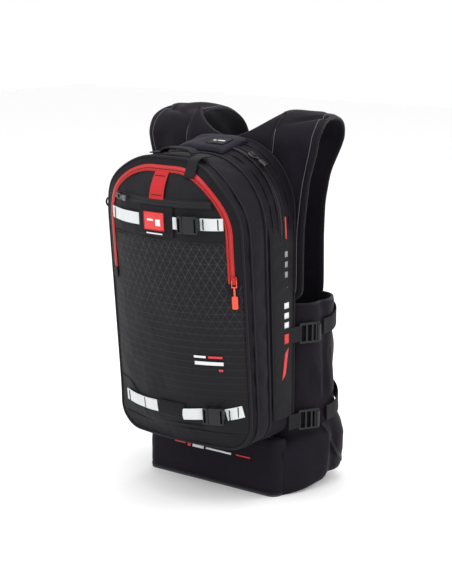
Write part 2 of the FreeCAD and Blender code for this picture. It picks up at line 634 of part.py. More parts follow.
# ---------------------------------------------------------------- lumbar block and base
def block_outline(half, y0, y1, radius, z):
    """A rounded rectangle in plan."""
    small = REAR_EDGE_RADIUS
    plate = [Vector(-half + radius, y0, z), Vector(half - radius, y0, z), Vector(half, y0 + radius, z),
             Vector(half, y1 - small, z), Vector(half - small, y1, z), Vector(-half + small, y1, z),
             Vector(-half, y1 - small, z), Vector(-half, y0 + radius, z)]

    def arc(a, b, c):
        return Part.Arc(a, b, c).toShape()

    turn = radius * (1 - math.sqrt(0.5))
    bit = REAR_EDGE_RADIUS * (1 - math.sqrt(0.5))
    return Part.Wire([
        Part.makeLine(plate[0], plate[1]),
        arc(plate[1], Vector(half - turn, y0 + turn, z), plate[2]),
        Part.makeLine(plate[2], plate[3]),
        arc(plate[3], Vector(half - bit, y1 - bit, z), plate[4]),
        Part.makeLine(plate[4], plate[5]),
        arc(plate[5], Vector(-half + bit, y1 - bit, z), plate[6]),
        Part.makeLine(plate[6], plate[7]),
        arc(plate[7], Vector(-half + turn, y0 + turn, z), plate[0]),
    ])


def build_lumbar():
    """The flared lumbar block under the pack, and the stiff base panel that it stands on."""
    top = PACK_BOTTOM - 1.0
    back = REAR_Y + 1.0 - HIP_FLARE - 2 * SEAM_GAP

    def block(inset, z0, z1):
        low = block_outline(HEM_HALF_WIDTH - inset, -HEM_DEPTH + inset, back - inset, HEM_RADIUS - inset, z0)
        high = block_outline(HEM_HALF_WIDTH - HEM_TAPER - inset, -HEM_DEPTH + HEM_SLOPE + inset, back - inset,
                             HEM_RADIUS - inset, z1)
        return Part.makeLoft([low, high], True, True)

    z0 = BASE_THICKNESS + SEAM_GAP
    nodes["lumbar_block"] = block(0.0, z0, top).cut(block(3.0, z0 + 3.0, top - 3.0))
    base = Part.Face(block_outline(HEM_HALF_WIDTH - 1, -HEM_DEPTH + 1, back, HEM_RADIUS, 0.0))
    nodes["base_panel"] = base.extrude(Vector(0, 0, BASE_THICKNESS))


# ---------------------------------------------------------------- flank straps
def build_flank_straps():
    """Two ladder locks each side, their anchors, and the webbing that pulls the vest in."""
    lock = ladder_lock(SIDE_STRAP_WIDTH)
    centre = Vector(CORNER_X, REAR_CORNER_Y, 0)
    turn = math.radians(LADDER_ANGLE)
    out = Vector(math.cos(turn), math.sin(turn), 0)
    along = Vector(-out.y, out.x, 0)
    seat = centre + out * (CORNER_RADIUS + LADDER_LIFT + LADDER_THICKNESS / 2)
    anchor_end = seat - along * (LADDER_LENGTH / 2 + ANCHOR_GAP)
    anchor_start = Vector(PACK_HALF_WIDTH + 4.0, REAR_Y - 14.0, 0)
    anchor_way = (anchor_end - anchor_start).normalize()
    anchor_out = Vector(anchor_way.y, -anchor_way.x, 0)
    anchors, webs = [], []
    for name, z, rise in (("upper", UPPER_LADDER, UPPER_STRAP_RISE),
                          ("lower", LOWER_LADDER, LOWER_STRAP_RISE)):
        stood = lock.copy()
        stood.translate(Vector(0, -CORNER_RADIUS - LADDER_LIFT, z))
        stood = turned(stood, Vector(0, 0, 0), Vector(0, 0, 1), 90 + LADDER_ANGLE)
        stood.translate(centre)
        nodes[name + "_ladder_lock_right"] = stood
        nodes[name + "_ladder_lock_left"] = mirrored(stood)
        ends = [(anchor_start, anchor_out), (anchor_end, anchor_out)]
        half = SIDE_STRAP_THICKNESS / 2
        anchors.append(band(ends, [z, z], SIDE_STRAP_WIDTH, -half, half))
        webs.append(flank_strap(z, rise))
    nodes["flank_anchors"] = Part.Compound(anchors + [mirrored(anchor) for anchor in anchors])
    nodes["flank_straps_right"] = Part.Compound(webs)
    nodes["flank_straps_left"] = mirrored(Part.Compound(webs))


def flank_strap(z, rise):
    """One flank strap, from just behind its ladder lock round to the chest panel."""
    count = 6
    stations, heights = [], []
    for step in range(-1, count + 2):
        share = min(1.0, max(0.0, (step + 1) / count))
        height = z + 4.0 + (rise - 4.0) * share
        low_edge = height - SIDE_STRAP_WIDTH / 2
        offset = hip_offset(low_edge) if low_edge < HIP_TOP + 3 else 0.0
        if step == -1:
            point, out = Vector(SIDE_X, OPENING_AXIS_Y + 3.0, 0), Vector(1, 0, 0)
        elif step == count + 1:
            point, out = Vector(CORNER_X - 26, CHEST_Y, 0), Vector(0, 1, 0)
        else:
            a = math.radians(90.0 * step / count)
            out = Vector(math.cos(a), math.sin(a), 0)
            point = Vector(CORNER_X, FRONT_CORNER_Y, 0) + out * CORNER_RADIUS
        stations.append((point + out * offset, out))
        heights.append(height)
    inner = 2 * SEAM_GAP
    return band(stations, heights, SIDE_STRAP_WIDTH, inner, inner + SIDE_STRAP_THICKNESS)


# ---------------------------------------------------------------- front closures
def build_closures():
    """Chest and hip buckles, each half on its own side of the open vest."""
    sockets, tails, far_tails = [], [], []
    for name, z, width, y in (("chest_upper", CHEST_STRAPS[0], STRAP_WIDTH, CHEST_Y),
                              ("chest_lower", CHEST_STRAPS[1], STRAP_WIDTH, CHEST_Y),
                              ("hip", HIP_STRAP, HIP_STRAP_WIDTH, CHEST_Y + HIP_FLARE)):
        socket, prongs = side_release(width)
        y += SEAM_GAP
        facing = Placement(Vector(0, y, z), Rotation(Vector(0, 0, 1), 180))
        socket = placed(socket, facing)
        prongs = placed(prongs, facing)
        socket.translate(Vector(CLOSURE_SOCKET_X, 0, 0))
        prongs_x = CLOSURE_SOCKET_X + PRONG_LENGTH + CLOSURE_GAP
        prongs.translate(Vector(prongs_x, 0, 0))
        sockets.append(socket)
        nodes[name + "_prongs"] = prongs
        edge = FRONT_EDGE_X + CLOSURE_TAIL + (HIP_EDGE if name == "hip" else 0.0)
        low, high = z - width / 2, z + width / 2
        tails.append(box(-edge, CLOSURE_SOCKET_X - FEMALE_LENGTH - 0.6, y, y + STRAP_THICKNESS, low, high))
        far_tails.append(box(prongs_x + MALE_BASE + 0.8, edge, y, y + STRAP_THICKNESS, low, high))
    nodes["closure_sockets"] = Part.Compound(sockets)
    nodes["closure_straps_left"] = Part.Compound(tails)
    nodes["closure_straps_right"] = Part.Compound(far_tails)


# ---------------------------------------------------------------- airbag system
def build_airbag_system():
    """Folded airbags, gas cylinder, inflator head, ducts, trigger line and handle."""
    inner_y = REAR_Y - 8.0
    folded = box(PACK_HALF_WIDTH - SHELL_WALL - 3 - AIRBAG_WIDTH, PACK_HALF_WIDTH - SHELL_WALL - 3,
                 inner_y - AIRBAG_DEPTH, inner_y, PACK_BOTTOM + BOTTOM_RADIUS, REAR_TOP - TOP_RADIUS - 6)
    folded = folded.makeFillet(8.0, folded.Edges)
    nodes["airbags"] = Part.Compound([folded, mirrored(folded)])

    sheet = rounded_plate(2 * (PACK_HALF_WIDTH - 42), REAR_TOP - PACK_BOTTOM - 90, 2.0, 30.0)
    sheet.translate(Vector(0, REAR_Y - 0.5, (REAR_TOP + PACK_BOTTOM) / 2 - 20))
    stay = rounded_plate(12.0, REAR_TOP - PACK_BOTTOM - 120, 3.0, 5.0)
    stay.translate(Vector(0, REAR_Y - 2.8, (REAR_TOP + PACK_BOTTOM) / 2 - 20))
    nodes["frame_stays"] = Part.Compound([stay.translated(Vector(x, 0, 0)) for x in (-78, 78)])

    axis_y = REAR_Y - 3.5 - CYLINDER_RADIUS
    x, z0, r = CYLINDER_X, CYLINDER_BOTTOM, CYLINDER_RADIUS
    body = Part.makeCylinder(r, CYLINDER_LENGTH, Vector(x, axis_y, z0))
    rims = [e for e in body.Edges if e.Closed]
    body = body.makeFillet(14.0, rims)
    neck_base = z0 + CYLINDER_LENGTH
    neck = Part.makeCylinder(NECK_RADIUS, NECK_LENGTH + 2, Vector(x, axis_y, neck_base - 2))
    nodes["gas_cylinder"] = joined([body, neck])

    head_z = neck_base + 3.0
    head = Part.makeCylinder(HEAD_RADIUS, HEAD_HEIGHT, Vector(x, axis_y, head_z))
    head = head.makeFillet(2.0, [e for e in head.Edges if e.Closed])
    boss = Part.makeCylinder(9.0, HEAD_RADIUS + 14, Vector(x, axis_y, head_z + 30), Vector(1, 0, 0))
    bore = Part.makeCylinder(NECK_RADIUS + 0.05, NECK_LENGTH - 1.5, Vector(x, axis_y, head_z - 1))
    pin_bore = Part.makeCylinder(PIN_RADIUS + 0.1, FAR, Vector(x, axis_y, head_z + 2))
    nodes["inflator_head"] = joined([head, boss]).cut(joined([bore, pin_bore]))

    pin_z = neck_base + NECK_LENGTH + 1.0
    pin = Part.makeCylinder(PIN_RADIUS, PIN_LENGTH, Vector(x, axis_y, pin_z + PIN_TRAVEL))
    cap = Part.makeCylinder(5.0, 3.0, Vector(x, axis_y, pin_z + PIN_TRAVEL + PIN_LENGTH - 3.0))
    nodes["piercing_pin"] = joined([pin, cap])

    duct_x = x + HEAD_RADIUS + 14.3
    duct = Part.makeCone(9.0, 16.0, 34.0, Vector(duct_x, axis_y, head_z + 30), Vector(1, 0, 0))
    duct = duct.cut(Part.makeCone(6.5, 13.5, 34.0, Vector(duct_x, axis_y, head_z + 30), Vector(1, 0, 0)))
    nodes["venturi_duct"] = duct
    clip = Part.makeCylinder(r + 3.0, 24.0, Vector(x, axis_y, z0 + 90))
    clip = clip.cut(Part.makeCylinder(r + 0.4, 24.0, Vector(x, axis_y, z0 + 90)))
    keep_in = box(-FAR, FAR, -FAR, REAR_Y - 3.0, -FAR, FAR)
    nodes["frame_sheet"] = Part.Compound([sheet, clip.common(keep_in)])
    build_trigger(axis_y, pin_z + PIN_TRAVEL + PIN_LENGTH)


def build_trigger(head_y, pin_top):
    """The trigger line from the head over the left shoulder, and the handle on the chest."""
    r = HOUSING_RADIUS
    line_y = CHEST_Y + 4.0
    top = SHOULDER_Z + 2.0
    wire_end = HANDLE_TOP + HANDLE_TRAVEL + 12.0
    start = Vector(HANDLE_X, line_y, HANDLE_TOP + 2.0)
    tube = Part.makeCylinder(r, top - HANDLE_TOP - 2.0, start)
    bore = Part.makeCylinder(WIRE_RADIUS + WIRE_CLEARANCE, wire_end - HANDLE_TOP - 2.0, start)
    nodes["trigger_housing_strap"] = tube.cut(bore)

    grip = rounded_plate(24.0, HANDLE_LENGTH, 12.0, 8.0, 3.0)
    grip = turned(grip, Vector(0, 0, 0), Vector(0, 0, 1), 180)
    grip.translate(Vector(HANDLE_X, CHEST_Y + SEAM_GAP, HANDLE_TOP - HANDLE_LENGTH / 2))
    hole_low = HANDLE_TOP - HANDLE_LENGTH + 10
    hole = box(HANDLE_X - 6, HANDLE_X + 6, -FAR, FAR, hole_low, hole_low + 38)
    grip = grip.cut(hole)
    wire = Part.makeCylinder(WIRE_RADIUS, HANDLE_TRAVEL + 8, Vector(HANDLE_X, line_y, HANDLE_TOP - 2))
    nodes["trigger_handle"] = joined([grip, wire])
    outer = box(HANDLE_X - 17, HANDLE_X + 17, CHEST_Y + SEAM_GAP, CHEST_Y + 15.5,
                HANDLE_TOP - 34, HANDLE_TOP + 6)
    inner = box(HANDLE_X - 13, HANDLE_X + 13, CHEST_Y - 1, CHEST_Y + 13.2,
                HANDLE_TOP - 40, HANDLE_TOP + 1)
    way = Part.makeCylinder(r + 0.3, 40, Vector(HANDLE_X, line_y, HANDLE_TOP))
    nodes["handle_pocket"] = outer.cut(inner).cut(way)

    back_path = [Vector(HANDLE_X, REAR_Y - 10, SHOULDER_Z - 40),
                 Vector(HANDLE_X + 10, REAR_Y - 12, SHOULDER_Z - 90),
                 Vector(CYLINDER_X, head_y, pin_top + 14), Vector(CYLINDER_X, head_y, pin_top + 6)]
    runs = []
    for a, b in zip(back_path, back_path[1:]):
        runs.append(Part.makeCylinder(r, (b - a).Length, a, b - a))
        runs.append(Part.makeSphere(r, b))
    nodes["trigger_housing_pack"] = joined(runs[:-1])


# ---------------------------------------------------------------- small soft pieces
def build_haul_handle():
    """The haul handle: a low loop of padded webbing over the pack's top."""
    y = -(MIDDLE_DEPTH + FRONT_TOP * math.tan(math.radians(MIDDLE_LEAN_DEG))) - HAUL_SETBACK
    z = FRONT_TOP + 2.0
    half = HAUL_WIDTH / 2
    outer = box(-half, half, y - 10, y + 10, z, z + HAUL_HEIGHT)
    upper_ends = [e for e in outer.Edges if e.BoundBox.ZLength < 1e-6 and e.BoundBox.XLength < 1e-6
                  and e.BoundBox.ZMin > z + 1]
    outer = outer.makeFillet(6.0, upper_ends)
    inner = box(-half + 4, half - 4, -FAR, FAR, z - 1, z + HAUL_HEIGHT - 3)
    nodes["haul_handle"] = outer.cut(inner)


build_shells()
build_front()
build_main_zip()
build_vest()
build_lumbar()
build_flank_straps()
build_closures()
build_airbag_system()
build_haul_handle()

os.makedirs("parts", exist_ok=True)
for name, shape in sorted(nodes.items()):
    solids = shape.Solids
    shape = solids[0] if len(solids) == 1 else Part.Compound(solids)
    if not solids or not shape.isValid():
        raise RuntimeError(name + " is not a valid solid")
    shape.exportStep(os.path.join("parts", name + ".step"))
print(len(nodes), "nodes")
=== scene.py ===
"""The looks of an avalanche airbag vest pack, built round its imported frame.

Every length is in metres, in the frame's own axes: +Z up, +X the wearer's right, +Y the way the
wearer faces. Soft pieces are surfaces of two parameters, worked out as whole numpy arrays.
"""

import logging
import math
from dataclasses import dataclass, field
from enum import Enum

import bpy
import numpy as np
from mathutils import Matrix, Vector


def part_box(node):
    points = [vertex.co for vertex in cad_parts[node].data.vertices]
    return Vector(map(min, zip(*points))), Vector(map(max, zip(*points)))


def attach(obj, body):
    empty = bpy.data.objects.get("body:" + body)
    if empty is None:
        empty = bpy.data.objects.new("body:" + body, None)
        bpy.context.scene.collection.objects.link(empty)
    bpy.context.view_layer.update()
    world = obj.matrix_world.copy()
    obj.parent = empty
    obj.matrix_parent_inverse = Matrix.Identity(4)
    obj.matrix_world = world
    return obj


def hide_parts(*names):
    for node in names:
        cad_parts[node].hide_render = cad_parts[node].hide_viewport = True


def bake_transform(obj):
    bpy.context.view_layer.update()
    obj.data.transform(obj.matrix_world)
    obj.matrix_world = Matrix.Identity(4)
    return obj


log = logging.getLogger("vest_pack")
MM = 0.001
TAU = 2 * math.pi
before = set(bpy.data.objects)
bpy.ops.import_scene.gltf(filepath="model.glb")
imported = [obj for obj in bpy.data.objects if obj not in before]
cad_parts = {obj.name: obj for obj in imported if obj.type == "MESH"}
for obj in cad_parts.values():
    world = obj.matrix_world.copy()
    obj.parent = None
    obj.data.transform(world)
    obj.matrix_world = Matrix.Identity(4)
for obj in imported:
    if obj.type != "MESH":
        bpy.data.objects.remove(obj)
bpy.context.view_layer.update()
Array = np.ndarray


class Body(str, Enum):
    """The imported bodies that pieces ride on."""

    PACK = "pack"
    FLAP = "front_flap"
    LEFT = "vest_left"
    RIGHT = "vest_right"
    PULL = "front_pull"
    HANDLE = "trigger_handle"


# ------------------------------------------------------------------ shader maths
class Value:
    """A number in a material's graph, whose operators add Math nodes."""

    def __init__(self, ink: "Ink", socket: bpy.types.NodeSocket):
        """Wraps one output socket of the graph."""
        self.ink = ink
        self.socket = socket

    def _math(self, operation: str, *values: object) -> "Value":
        """One Math node on these values.

        Args:
            operation: the Math node's operation.
            values: numbers or Values, in the node's order.
        Returns:
            The node's result.
        """
        made = self.ink.node("ShaderNodeMath", {"operation": operation}, dict(enumerate(values)))
        return Value(self.ink, made.outputs[0])

    def __add__(self, other: object) -> "Value":
        """Adds."""
        return self._math("ADD", self, other)

    __radd__ = __add__

    def __mul__(self, other: object) -> "Value":
        """Multiplies."""
        return self._math("MULTIPLY", self, other)

    __rmul__ = __mul__

    def __sub__(self, other: object) -> "Value":
        """Takes the other away."""
        return self._math("SUBTRACT", self, other)

    def __rsub__(self, other: object) -> "Value":
        """Is taken away from the other."""
        return self._math("SUBTRACT", other, self)

    def __truediv__(self, other: object) -> "Value":
        """Divides."""
        return self._math("DIVIDE", self, other)

    def __pow__(self, other: object) -> "Value":
        """Raises to a power."""
        return self._math("POWER", self, other)

    def __lt__(self, other: object) -> "Value":
        """1 where smaller, else 0."""
        return self._math("LESS_THAN", self, other)

    def __gt__(self, other: object) -> "Value":
        """1 where larger, else 0."""
        return self._math("GREATER_THAN", self, other)

    def sin(self) -> "Value":
        """The sine."""
        return self._math("SINE", self)

    def abs(self) -> "Value":
        """The size without its sign."""
        return self._math("ABSOLUTE", self)

    def fract(self) -> "Value":
        """What is left over above the whole number."""
        return self._math("FRACT", self)

    def most(self, other: object) -> "Value":
        """The larger of the two."""
        return self._math("MAXIMUM", self, other)

    def least(self, other: object) -> "Value":
        """The smaller of the two."""
        return self._math("MINIMUM", self, other)

    def near(self, centre: float, half: float) -> "Value":
        """1 within half of the centre, else 0."""
        return (self - centre).abs() < half

    def step(self, low: float, high: float) -> "Value":
        """Rises smoothly from 0 at low to 1 at high."""
        made = self.ink.node("ShaderNodeMapRange", {"interpolation_type": "SMOOTHSTEP"},
                             {"Value": self, "From Min": low, "From Max": high})
        return Value(self.ink, made.outputs[0])


class Ink:
    """The node graph of one material."""

    def __init__(self, name: str):
        """Starts an empty graph for a new material of that name."""
        self.material = bpy.data.materials.new(name)
        self.material.use_nodes = True
        self.tree = self.material.node_tree
        self.tree.nodes.clear()

    def node(self, kind: str, settings: dict | None = None, inputs: dict | None = None) -> bpy.types.Node:
        """Adds a node.

        Args:
            kind: the node's type.
            settings: its properties, which are set first; "stops" are a ramp's (place, colour) pairs.
            inputs: socket name, identifier or index, to a number, a colour, a Value or a socket.
        Returns:
            The new node.
        """
        made = self.tree.nodes.new(kind)
        for key, value in (settings or {}).items():
            if key == "stops":
                ramp = made.color_ramp.elements
                for stop, (place, colour) in enumerate(value):
                    element = ramp[stop] if stop < len(ramp) else ramp.new(place)
                    element.position = place
                    element.color = (*colour, 1.0)
            else:
                setattr(made, key, value)
        for key, value in (inputs or {}).items():
            if isinstance(key, int):
                socket = made.inputs[key]
            else:
                socket = next(s for s in made.inputs if key in (s.identifier, s.name))
            if isinstance(value, Value):
                value = value.socket
            if isinstance(value, bpy.types.NodeSocket):
                self.tree.links.new(value, socket)
            else:
                socket.default_value = value
        return made

    def place(self, uv: bool = True) -> tuple[Value, Value, Value, bpy.types.NodeSocket]:
        """Where on the piece a point is.

        Args:
            uv: whether by the piece's own UV map, in metres, or by its place in the frame.
        Returns:
            The three coordinates, and the vector they come from.
        """
        source = self.node("ShaderNodeUVMap", {"uv_map": "UVMap"}).outputs[0] if uv else \
            self.node("ShaderNodeTexCoord").outputs["Object"]
        split = self.node("ShaderNodeSeparateXYZ", None, {0: source})
        return (*(Value(self, out) for out in split.outputs), source)

    def noise(self, vector: object, scale: float, detail: float = 3.0, rough: float = 0.55) -> Value:
        """Cloudy noise, from 0 to 1."""
        made = self.node("ShaderNodeTexNoise", None,
                         {"Vector": vector, "Scale": scale, "Detail": detail, "Roughness": rough})
        return Value(self, made.outputs["Fac"])

    def mix(self, share: object, low: object, high: object) -> bpy.types.NodeSocket:
        """A colour between two colours."""
        made = self.node("ShaderNodeMix", {"data_type": "RGBA"},
                         {"Factor_Float": share, "A_Color": solid(low), "B_Color": solid(high)})
        return next(s for s in made.outputs if s.identifier == "Result_Color")

    def bump(self, height: object, depth: float, under: object = None) -> bpy.types.NodeSocket:
        """A bumped normal of that depth in metres, over another normal if one is given."""
        inputs = {"Height": height, "Distance": depth, "Strength": 1.0}
        if under is not None:
            inputs["Normal"] = under
        return self.node("ShaderNodeBump", None, inputs).outputs[0]

    def finish(self, colour: object, roughness: object, normal: object = None,
               **constants: object) -> bpy.types.Material:
        """Closes the graph with its shader.

        Args:
            colour: the base colour, a socket or three numbers.
            roughness: a number or a Value.
            normal: the bumped normal, if there is one.
            constants: other shader sockets, by name with _ for each space, as plain numbers or colours.
        Returns:
            The finished material.
        """
        inputs = {"Base Color": solid(colour), "Roughness": roughness}
        if normal is not None:
            inputs["Normal"] = normal
        for key, value in constants.items():
            inputs[key.replace("_", " ")] = value
        shader = self.node("ShaderNodeBsdfPrincipled", None, inputs)
        self.node("ShaderNodeOutputMaterial", None, {"Surface": shader.outputs[0]})
        return self.material


def solid(colour: object) -> object:
    """A colour with its alpha, if it came as three numbers."""
    return (*colour, 1.0) if isinstance(colour, tuple) and len(colour) == 3 else colour


Colour = tuple[float, float, float]


# ------------------------------------------------------------------ finishes
@dataclass(frozen=True)
class Softshell:
    """Matt stretch cloth: a fine twill, a soft cloudiness and a faint sheen on its folds."""

    name: str
    colour: Colour
    roughness: float = 0.66
    twill: float = 0.0011
    depth: float = 0.00006
    sheen: float = 0.04

    def material(self) -> bpy.types.Material:
        """The cloth's material, its twill along the piece's own UV map."""
        ink = Ink(self.name)
        u, v, _, vector = ink.place()
        twill = ((u + v) * (TAU / self.twill)).sin() * 0.5 + ((u - v) * (TAU / self.twill / 2)).sin() * 0.25
        cloud = ink.noise(vector, 9.0, 4.0)
        fuzz = ink.noise(vector, 900.0, 2.0)
        crease = ink.noise(vector, 38.0, 5.0, 0.6)
        low = tuple(c * 0.72 for c in self.colour)
        high = tuple(min(1.0, c * 1.35) for c in self.colour)
        colour = ink.mix(cloud * 0.75 + fuzz * 0.25, low, high)
        creased = ink.bump(crease, 0.0016)
        normal = ink.bump(twill * 0.5 + fuzz, self.depth, creased)
        rough = cloud * 0.16 + (self.roughness - 0.08)
        return ink.finish(colour, rough, normal, Sheen_Weight=self.sheen, Sheen_Roughness=0.4,
                          Specular_IOR_Level=0.1)


@dataclass(frozen=True)
class FrontCloth:
    """The front panel's cloth: plain charcoal above and below a field of fine quilted lines."""

    name: str = "front_cloth"
    colour: Colour = (0.0095, 0.0088, 0.0105)
    low_colour: Colour = (0.0075, 0.0064, 0.0092)
    line: Colour = (0.058, 0.057, 0.062)
    pitch: float = 0.0128
    line_width: float = 0.00042
    field_low: float = 0.176
    field_high: float = 0.421
    base_high: float = 0.117

    def material(self) -> bpy.types.Material:
        """The panel's material; u runs across the panel from its middle, v up it."""
        ink = Ink(self.name)
        u, v, _, vector = ink.place()
        row = self.pitch * math.sqrt(3) / 2
        fuzz = ink.noise(vector, 700.0, 3.0)
        cloud = ink.noise(vector, 11.0, 4.0)

        def lines(along: Value, spacing: float) -> Value:
            """Thin lines at that spacing of a coordinate."""
            off = ((along * (1 / spacing)).fract() - 0.5).abs()
            return off.step(0.5 - self.line_width / spacing * 1.6, 0.5 - self.line_width / spacing * 0.4)

        slope = 1 / math.sqrt(3)
        diagonal = lines(u + v * slope, self.pitch).most(lines(u - v * slope, self.pitch))
        rows = lines(v, row)
        dotted = ((u * (TAU / 0.0016)).sin() * 0.5 + 0.5) * 0.75 + 0.25
        high_part = v.step(0.235, 0.375)
        across = (u + 0.12).step(0.0, 0.10)
        field = v.step(self.field_low - 0.001, self.field_low + 0.001) * (1 - v.step(self.field_high - 0.001,
                                                                                     self.field_high + 0.001))
        fade = v.step(self.field_low - 0.02, 0.30) * 0.7 + 0.3
        seen = diagonal * (high_part * (across * 0.5 + 0.5)) * 0.9
        seen = seen.most(rows * dotted * fade * 0.75)
        seen = seen * field * (cloud * 0.9 + 0.35)
        base = ink.mix(cloud * 0.7 + fuzz * 0.3, tuple(c * 0.72 for c in self.colour),
                       tuple(c * 1.4 for c in self.colour))
        low_share = 1 - v.step(self.base_high - 0.0008, self.base_high + 0.0008)
        base = ink.mix(low_share, base, self.low_colour)
        colour = ink.mix(seen.least(1.0), base, self.line)
        weave = ((u * (TAU / 0.0009)).sin() + (v * (TAU / 0.0009)).sin()) * 0.25 + 0.5
        soft = ink.bump(ink.noise(vector, 45.0, 4.0), 0.0010)
        normal = ink.bump(weave + fuzz * 0.6, 0.00006, soft)
        normal = ink.bump(1 - seen, 0.00022, normal)
        return ink.finish(colour, cloud * 0.14 + 0.55, normal, Sheen_Weight=0.02, Specular_IOR_Level=0.12)


@dataclass(frozen=True)
class Webbing:
    """Woven tape: ribs across it, a herringbone along it, and bound edges."""

    name: str
    colour: Colour
    width: float = 0.020
    rib: float = 0.0014
    roughness: float = 0.7

    def material(self) -> bpy.types.Material:
        """The tape's material; u runs along it, v across it."""
        ink = Ink(self.name)
        u, v, _, vector = ink.place()
        ribs = (u * (TAU / self.rib)).sin() * 0.5 + 0.5
        yarn = ((v * (TAU / 0.0011)).sin() * 0.5 + 0.5) * 0.7
        zigzag = ((u + (v * (1 / 0.004)).fract().abs() * 0.0014) * (TAU / self.rib)).sin() * 0.3
        fuzz = ink.noise(vector, 1200.0, 2.0)
        grime = ink.noise(vector, 60.0, 4.0)
        colour = ink.mix(ribs * 0.35 + yarn * 0.25 + grime * 0.4, tuple(c * 0.74 for c in self.colour),
                         tuple(min(1.0, c * 1.12) for c in self.colour))
        normal = ink.bump(ribs + yarn + zigzag + fuzz * 0.4, 0.00016)
        return ink.finish(colour, fuzz * 0.2 + (self.roughness - 0.1), normal, Specular_IOR_Level=0.2)


@dataclass(frozen=True)
class ZipTape:
    """Coated zip tape: smooth and slightly glossy, with coils showing along one edge."""

    name: str
    colour: Colour
    coil_at: float
    coil_width: float = 0.0016
    tooth: float = 0.0021
    stitch_at: float = 0.0
    roughness: float = 0.38
    coat: float = 0.12

    def material(self) -> bpy.types.Material:
        """The tape's material; u runs along it, v across it."""
        ink = Ink(self.name)
        u, v, _, vector = ink.place()
        on_coil = 1 - (v - self.coil_at).abs().step(self.coil_width * 0.6, self.coil_width)
        teeth = ((u * (TAU / self.tooth)).sin() * 0.5 + 0.5) * on_coil
        stitch = v.near(self.stitch_at, 0.0004) * ((u * (1 / 0.003)).fract() < 0.6)
        grain = ink.noise(vector, 500.0, 3.0)
        cloud = ink.noise(vector, 24.0, 3.0)
        colour = ink.mix(cloud * 0.6 + grain * 0.4, tuple(c * 0.82 for c in self.colour),
                         tuple(min(1.0, c * 1.15) for c in self.colour))
        colour = ink.mix(teeth * 0.45 + stitch * 0.5, colour, tuple(c * 0.35 for c in self.colour))
        normal = ink.bump(teeth * 1.4 + grain * 0.15 - stitch, 0.00035)
        return ink.finish(colour, cloud * 0.12 + (self.roughness - 0.06), normal, Coat_Weight=self.coat,
                          Coat_Roughness=0.3, Specular_IOR_Level=0.25)


@dataclass(frozen=True)
class Moulded:
    """Moulded plastic or rubber: a fine spark texture, a little lighter on its sharp edges."""

    name: str
    colour: Colour
    roughness: float = 0.36
    grain: float = 0.00003
    coat: float = 0.0
    gloss: float = 0.35

    def material(self) -> bpy.types.Material:
        """The moulding's material, by its place in the frame."""
        ink = Ink(self.name)
        _, _, _, vector = ink.place(uv=False)
        spark = ink.noise(vector, 1600.0, 2.0)
        cloud = ink.noise(vector, 55.0, 4.0)
        edge = Value(ink, ink.node("ShaderNodeNewGeometry").outputs["Pointiness"]).step(0.52, 0.60)
        light = tuple(min(1.0, c * 1.6 + 0.012) for c in self.colour)
        # the colour is mixed lighter along sharp convex edges, as found by Pointiness
        colour = ink.mix(cloud * 0.35 + edge * 0.5, self.colour, light)
        normal = ink.bump(spark, self.grain)
        return ink.finish(colour, cloud * 0.14 + (self.roughness - 0.07), normal, Coat_Weight=self.coat,
                          Coat_Roughness=0.2, Specular_IOR_Level=self.gloss)


@dataclass(frozen=True)
class Metal:
    """Metal, plated or machined: brushed a little, with a cloud of handling marks."""

    name: str
    colour: Colour
    roughness: float = 0.3
    metallic: float = 1.0

    def material(self) -> bpy.types.Material:
        """The metal's material, by its place in the frame."""
        ink = Ink(self.name)
        _, _, _, vector = ink.place(uv=False)
        marks = ink.noise(vector, 140.0, 5.0, 0.65)
        fine = ink.noise(vector, 2000.0, 2.0)
        colour = ink.mix(marks, tuple(c * 0.75 for c in self.colour),
                         tuple(min(1.0, c * 1.2) for c in self.colour))
        return ink.finish(colour, marks * 0.2 + (self.roughness - 0.08), ink.bump(fine, 0.00001),
                          Metallic=self.metallic)


@dataclass(frozen=True)
class SpacerMesh:
    """Open spacer mesh: rows of small holes, painted dark inside as shade in their depths."""

    name: str
    colour: Colour
    pitch: float = 0.0042

    def material(self) -> bpy.types.Material:
        """The mesh's material, its holes on a staggered grid of the UV map."""
        ink = Ink(self.name)
        u, v, _, vector = ink.place()
        k = TAU / self.pitch
        cells = (u * k).sin() * (v * (k * 0.7)).sin()
        holes = cells.step(0.05, 0.55)
        fuzz = ink.noise(vector, 800.0, 2.0)
        # painted shade: the holes are darkened to a quarter of the mesh's colour, as shade in their depths
        colour = ink.mix(holes, self.colour, tuple(c * 0.25 for c in self.colour))
        normal = ink.bump(1 - holes + fuzz * 0.2, 0.0006)
        return ink.finish(colour, fuzz * 0.1 + 0.75, normal, Sheen_Weight=0.2)


@dataclass(frozen=True)
class Print:
    """Flat print or a coated patch: one colour, slightly glossier than the cloth it is on."""

    name: str
    colour: Colour
    roughness: float = 0.5

    def material(self) -> bpy.types.Material:
        """The print's material, with the cloth's grain showing through."""
        ink = Ink(self.name)
        _, _, _, vector = ink.place(uv=False)
        grain = ink.noise(vector, 900.0, 2.0)
        cloud = ink.noise(vector, 80.0, 3.0)
        colour = ink.mix(cloud * 0.5 + grain * 0.5, tuple(c * 0.85 for c in self.colour),
                         tuple(min(1.0, c * 1.1) for c in self.colour))
        return ink.finish(colour, grain * 0.15 + self.roughness, ink.bump(grain, 0.00005))


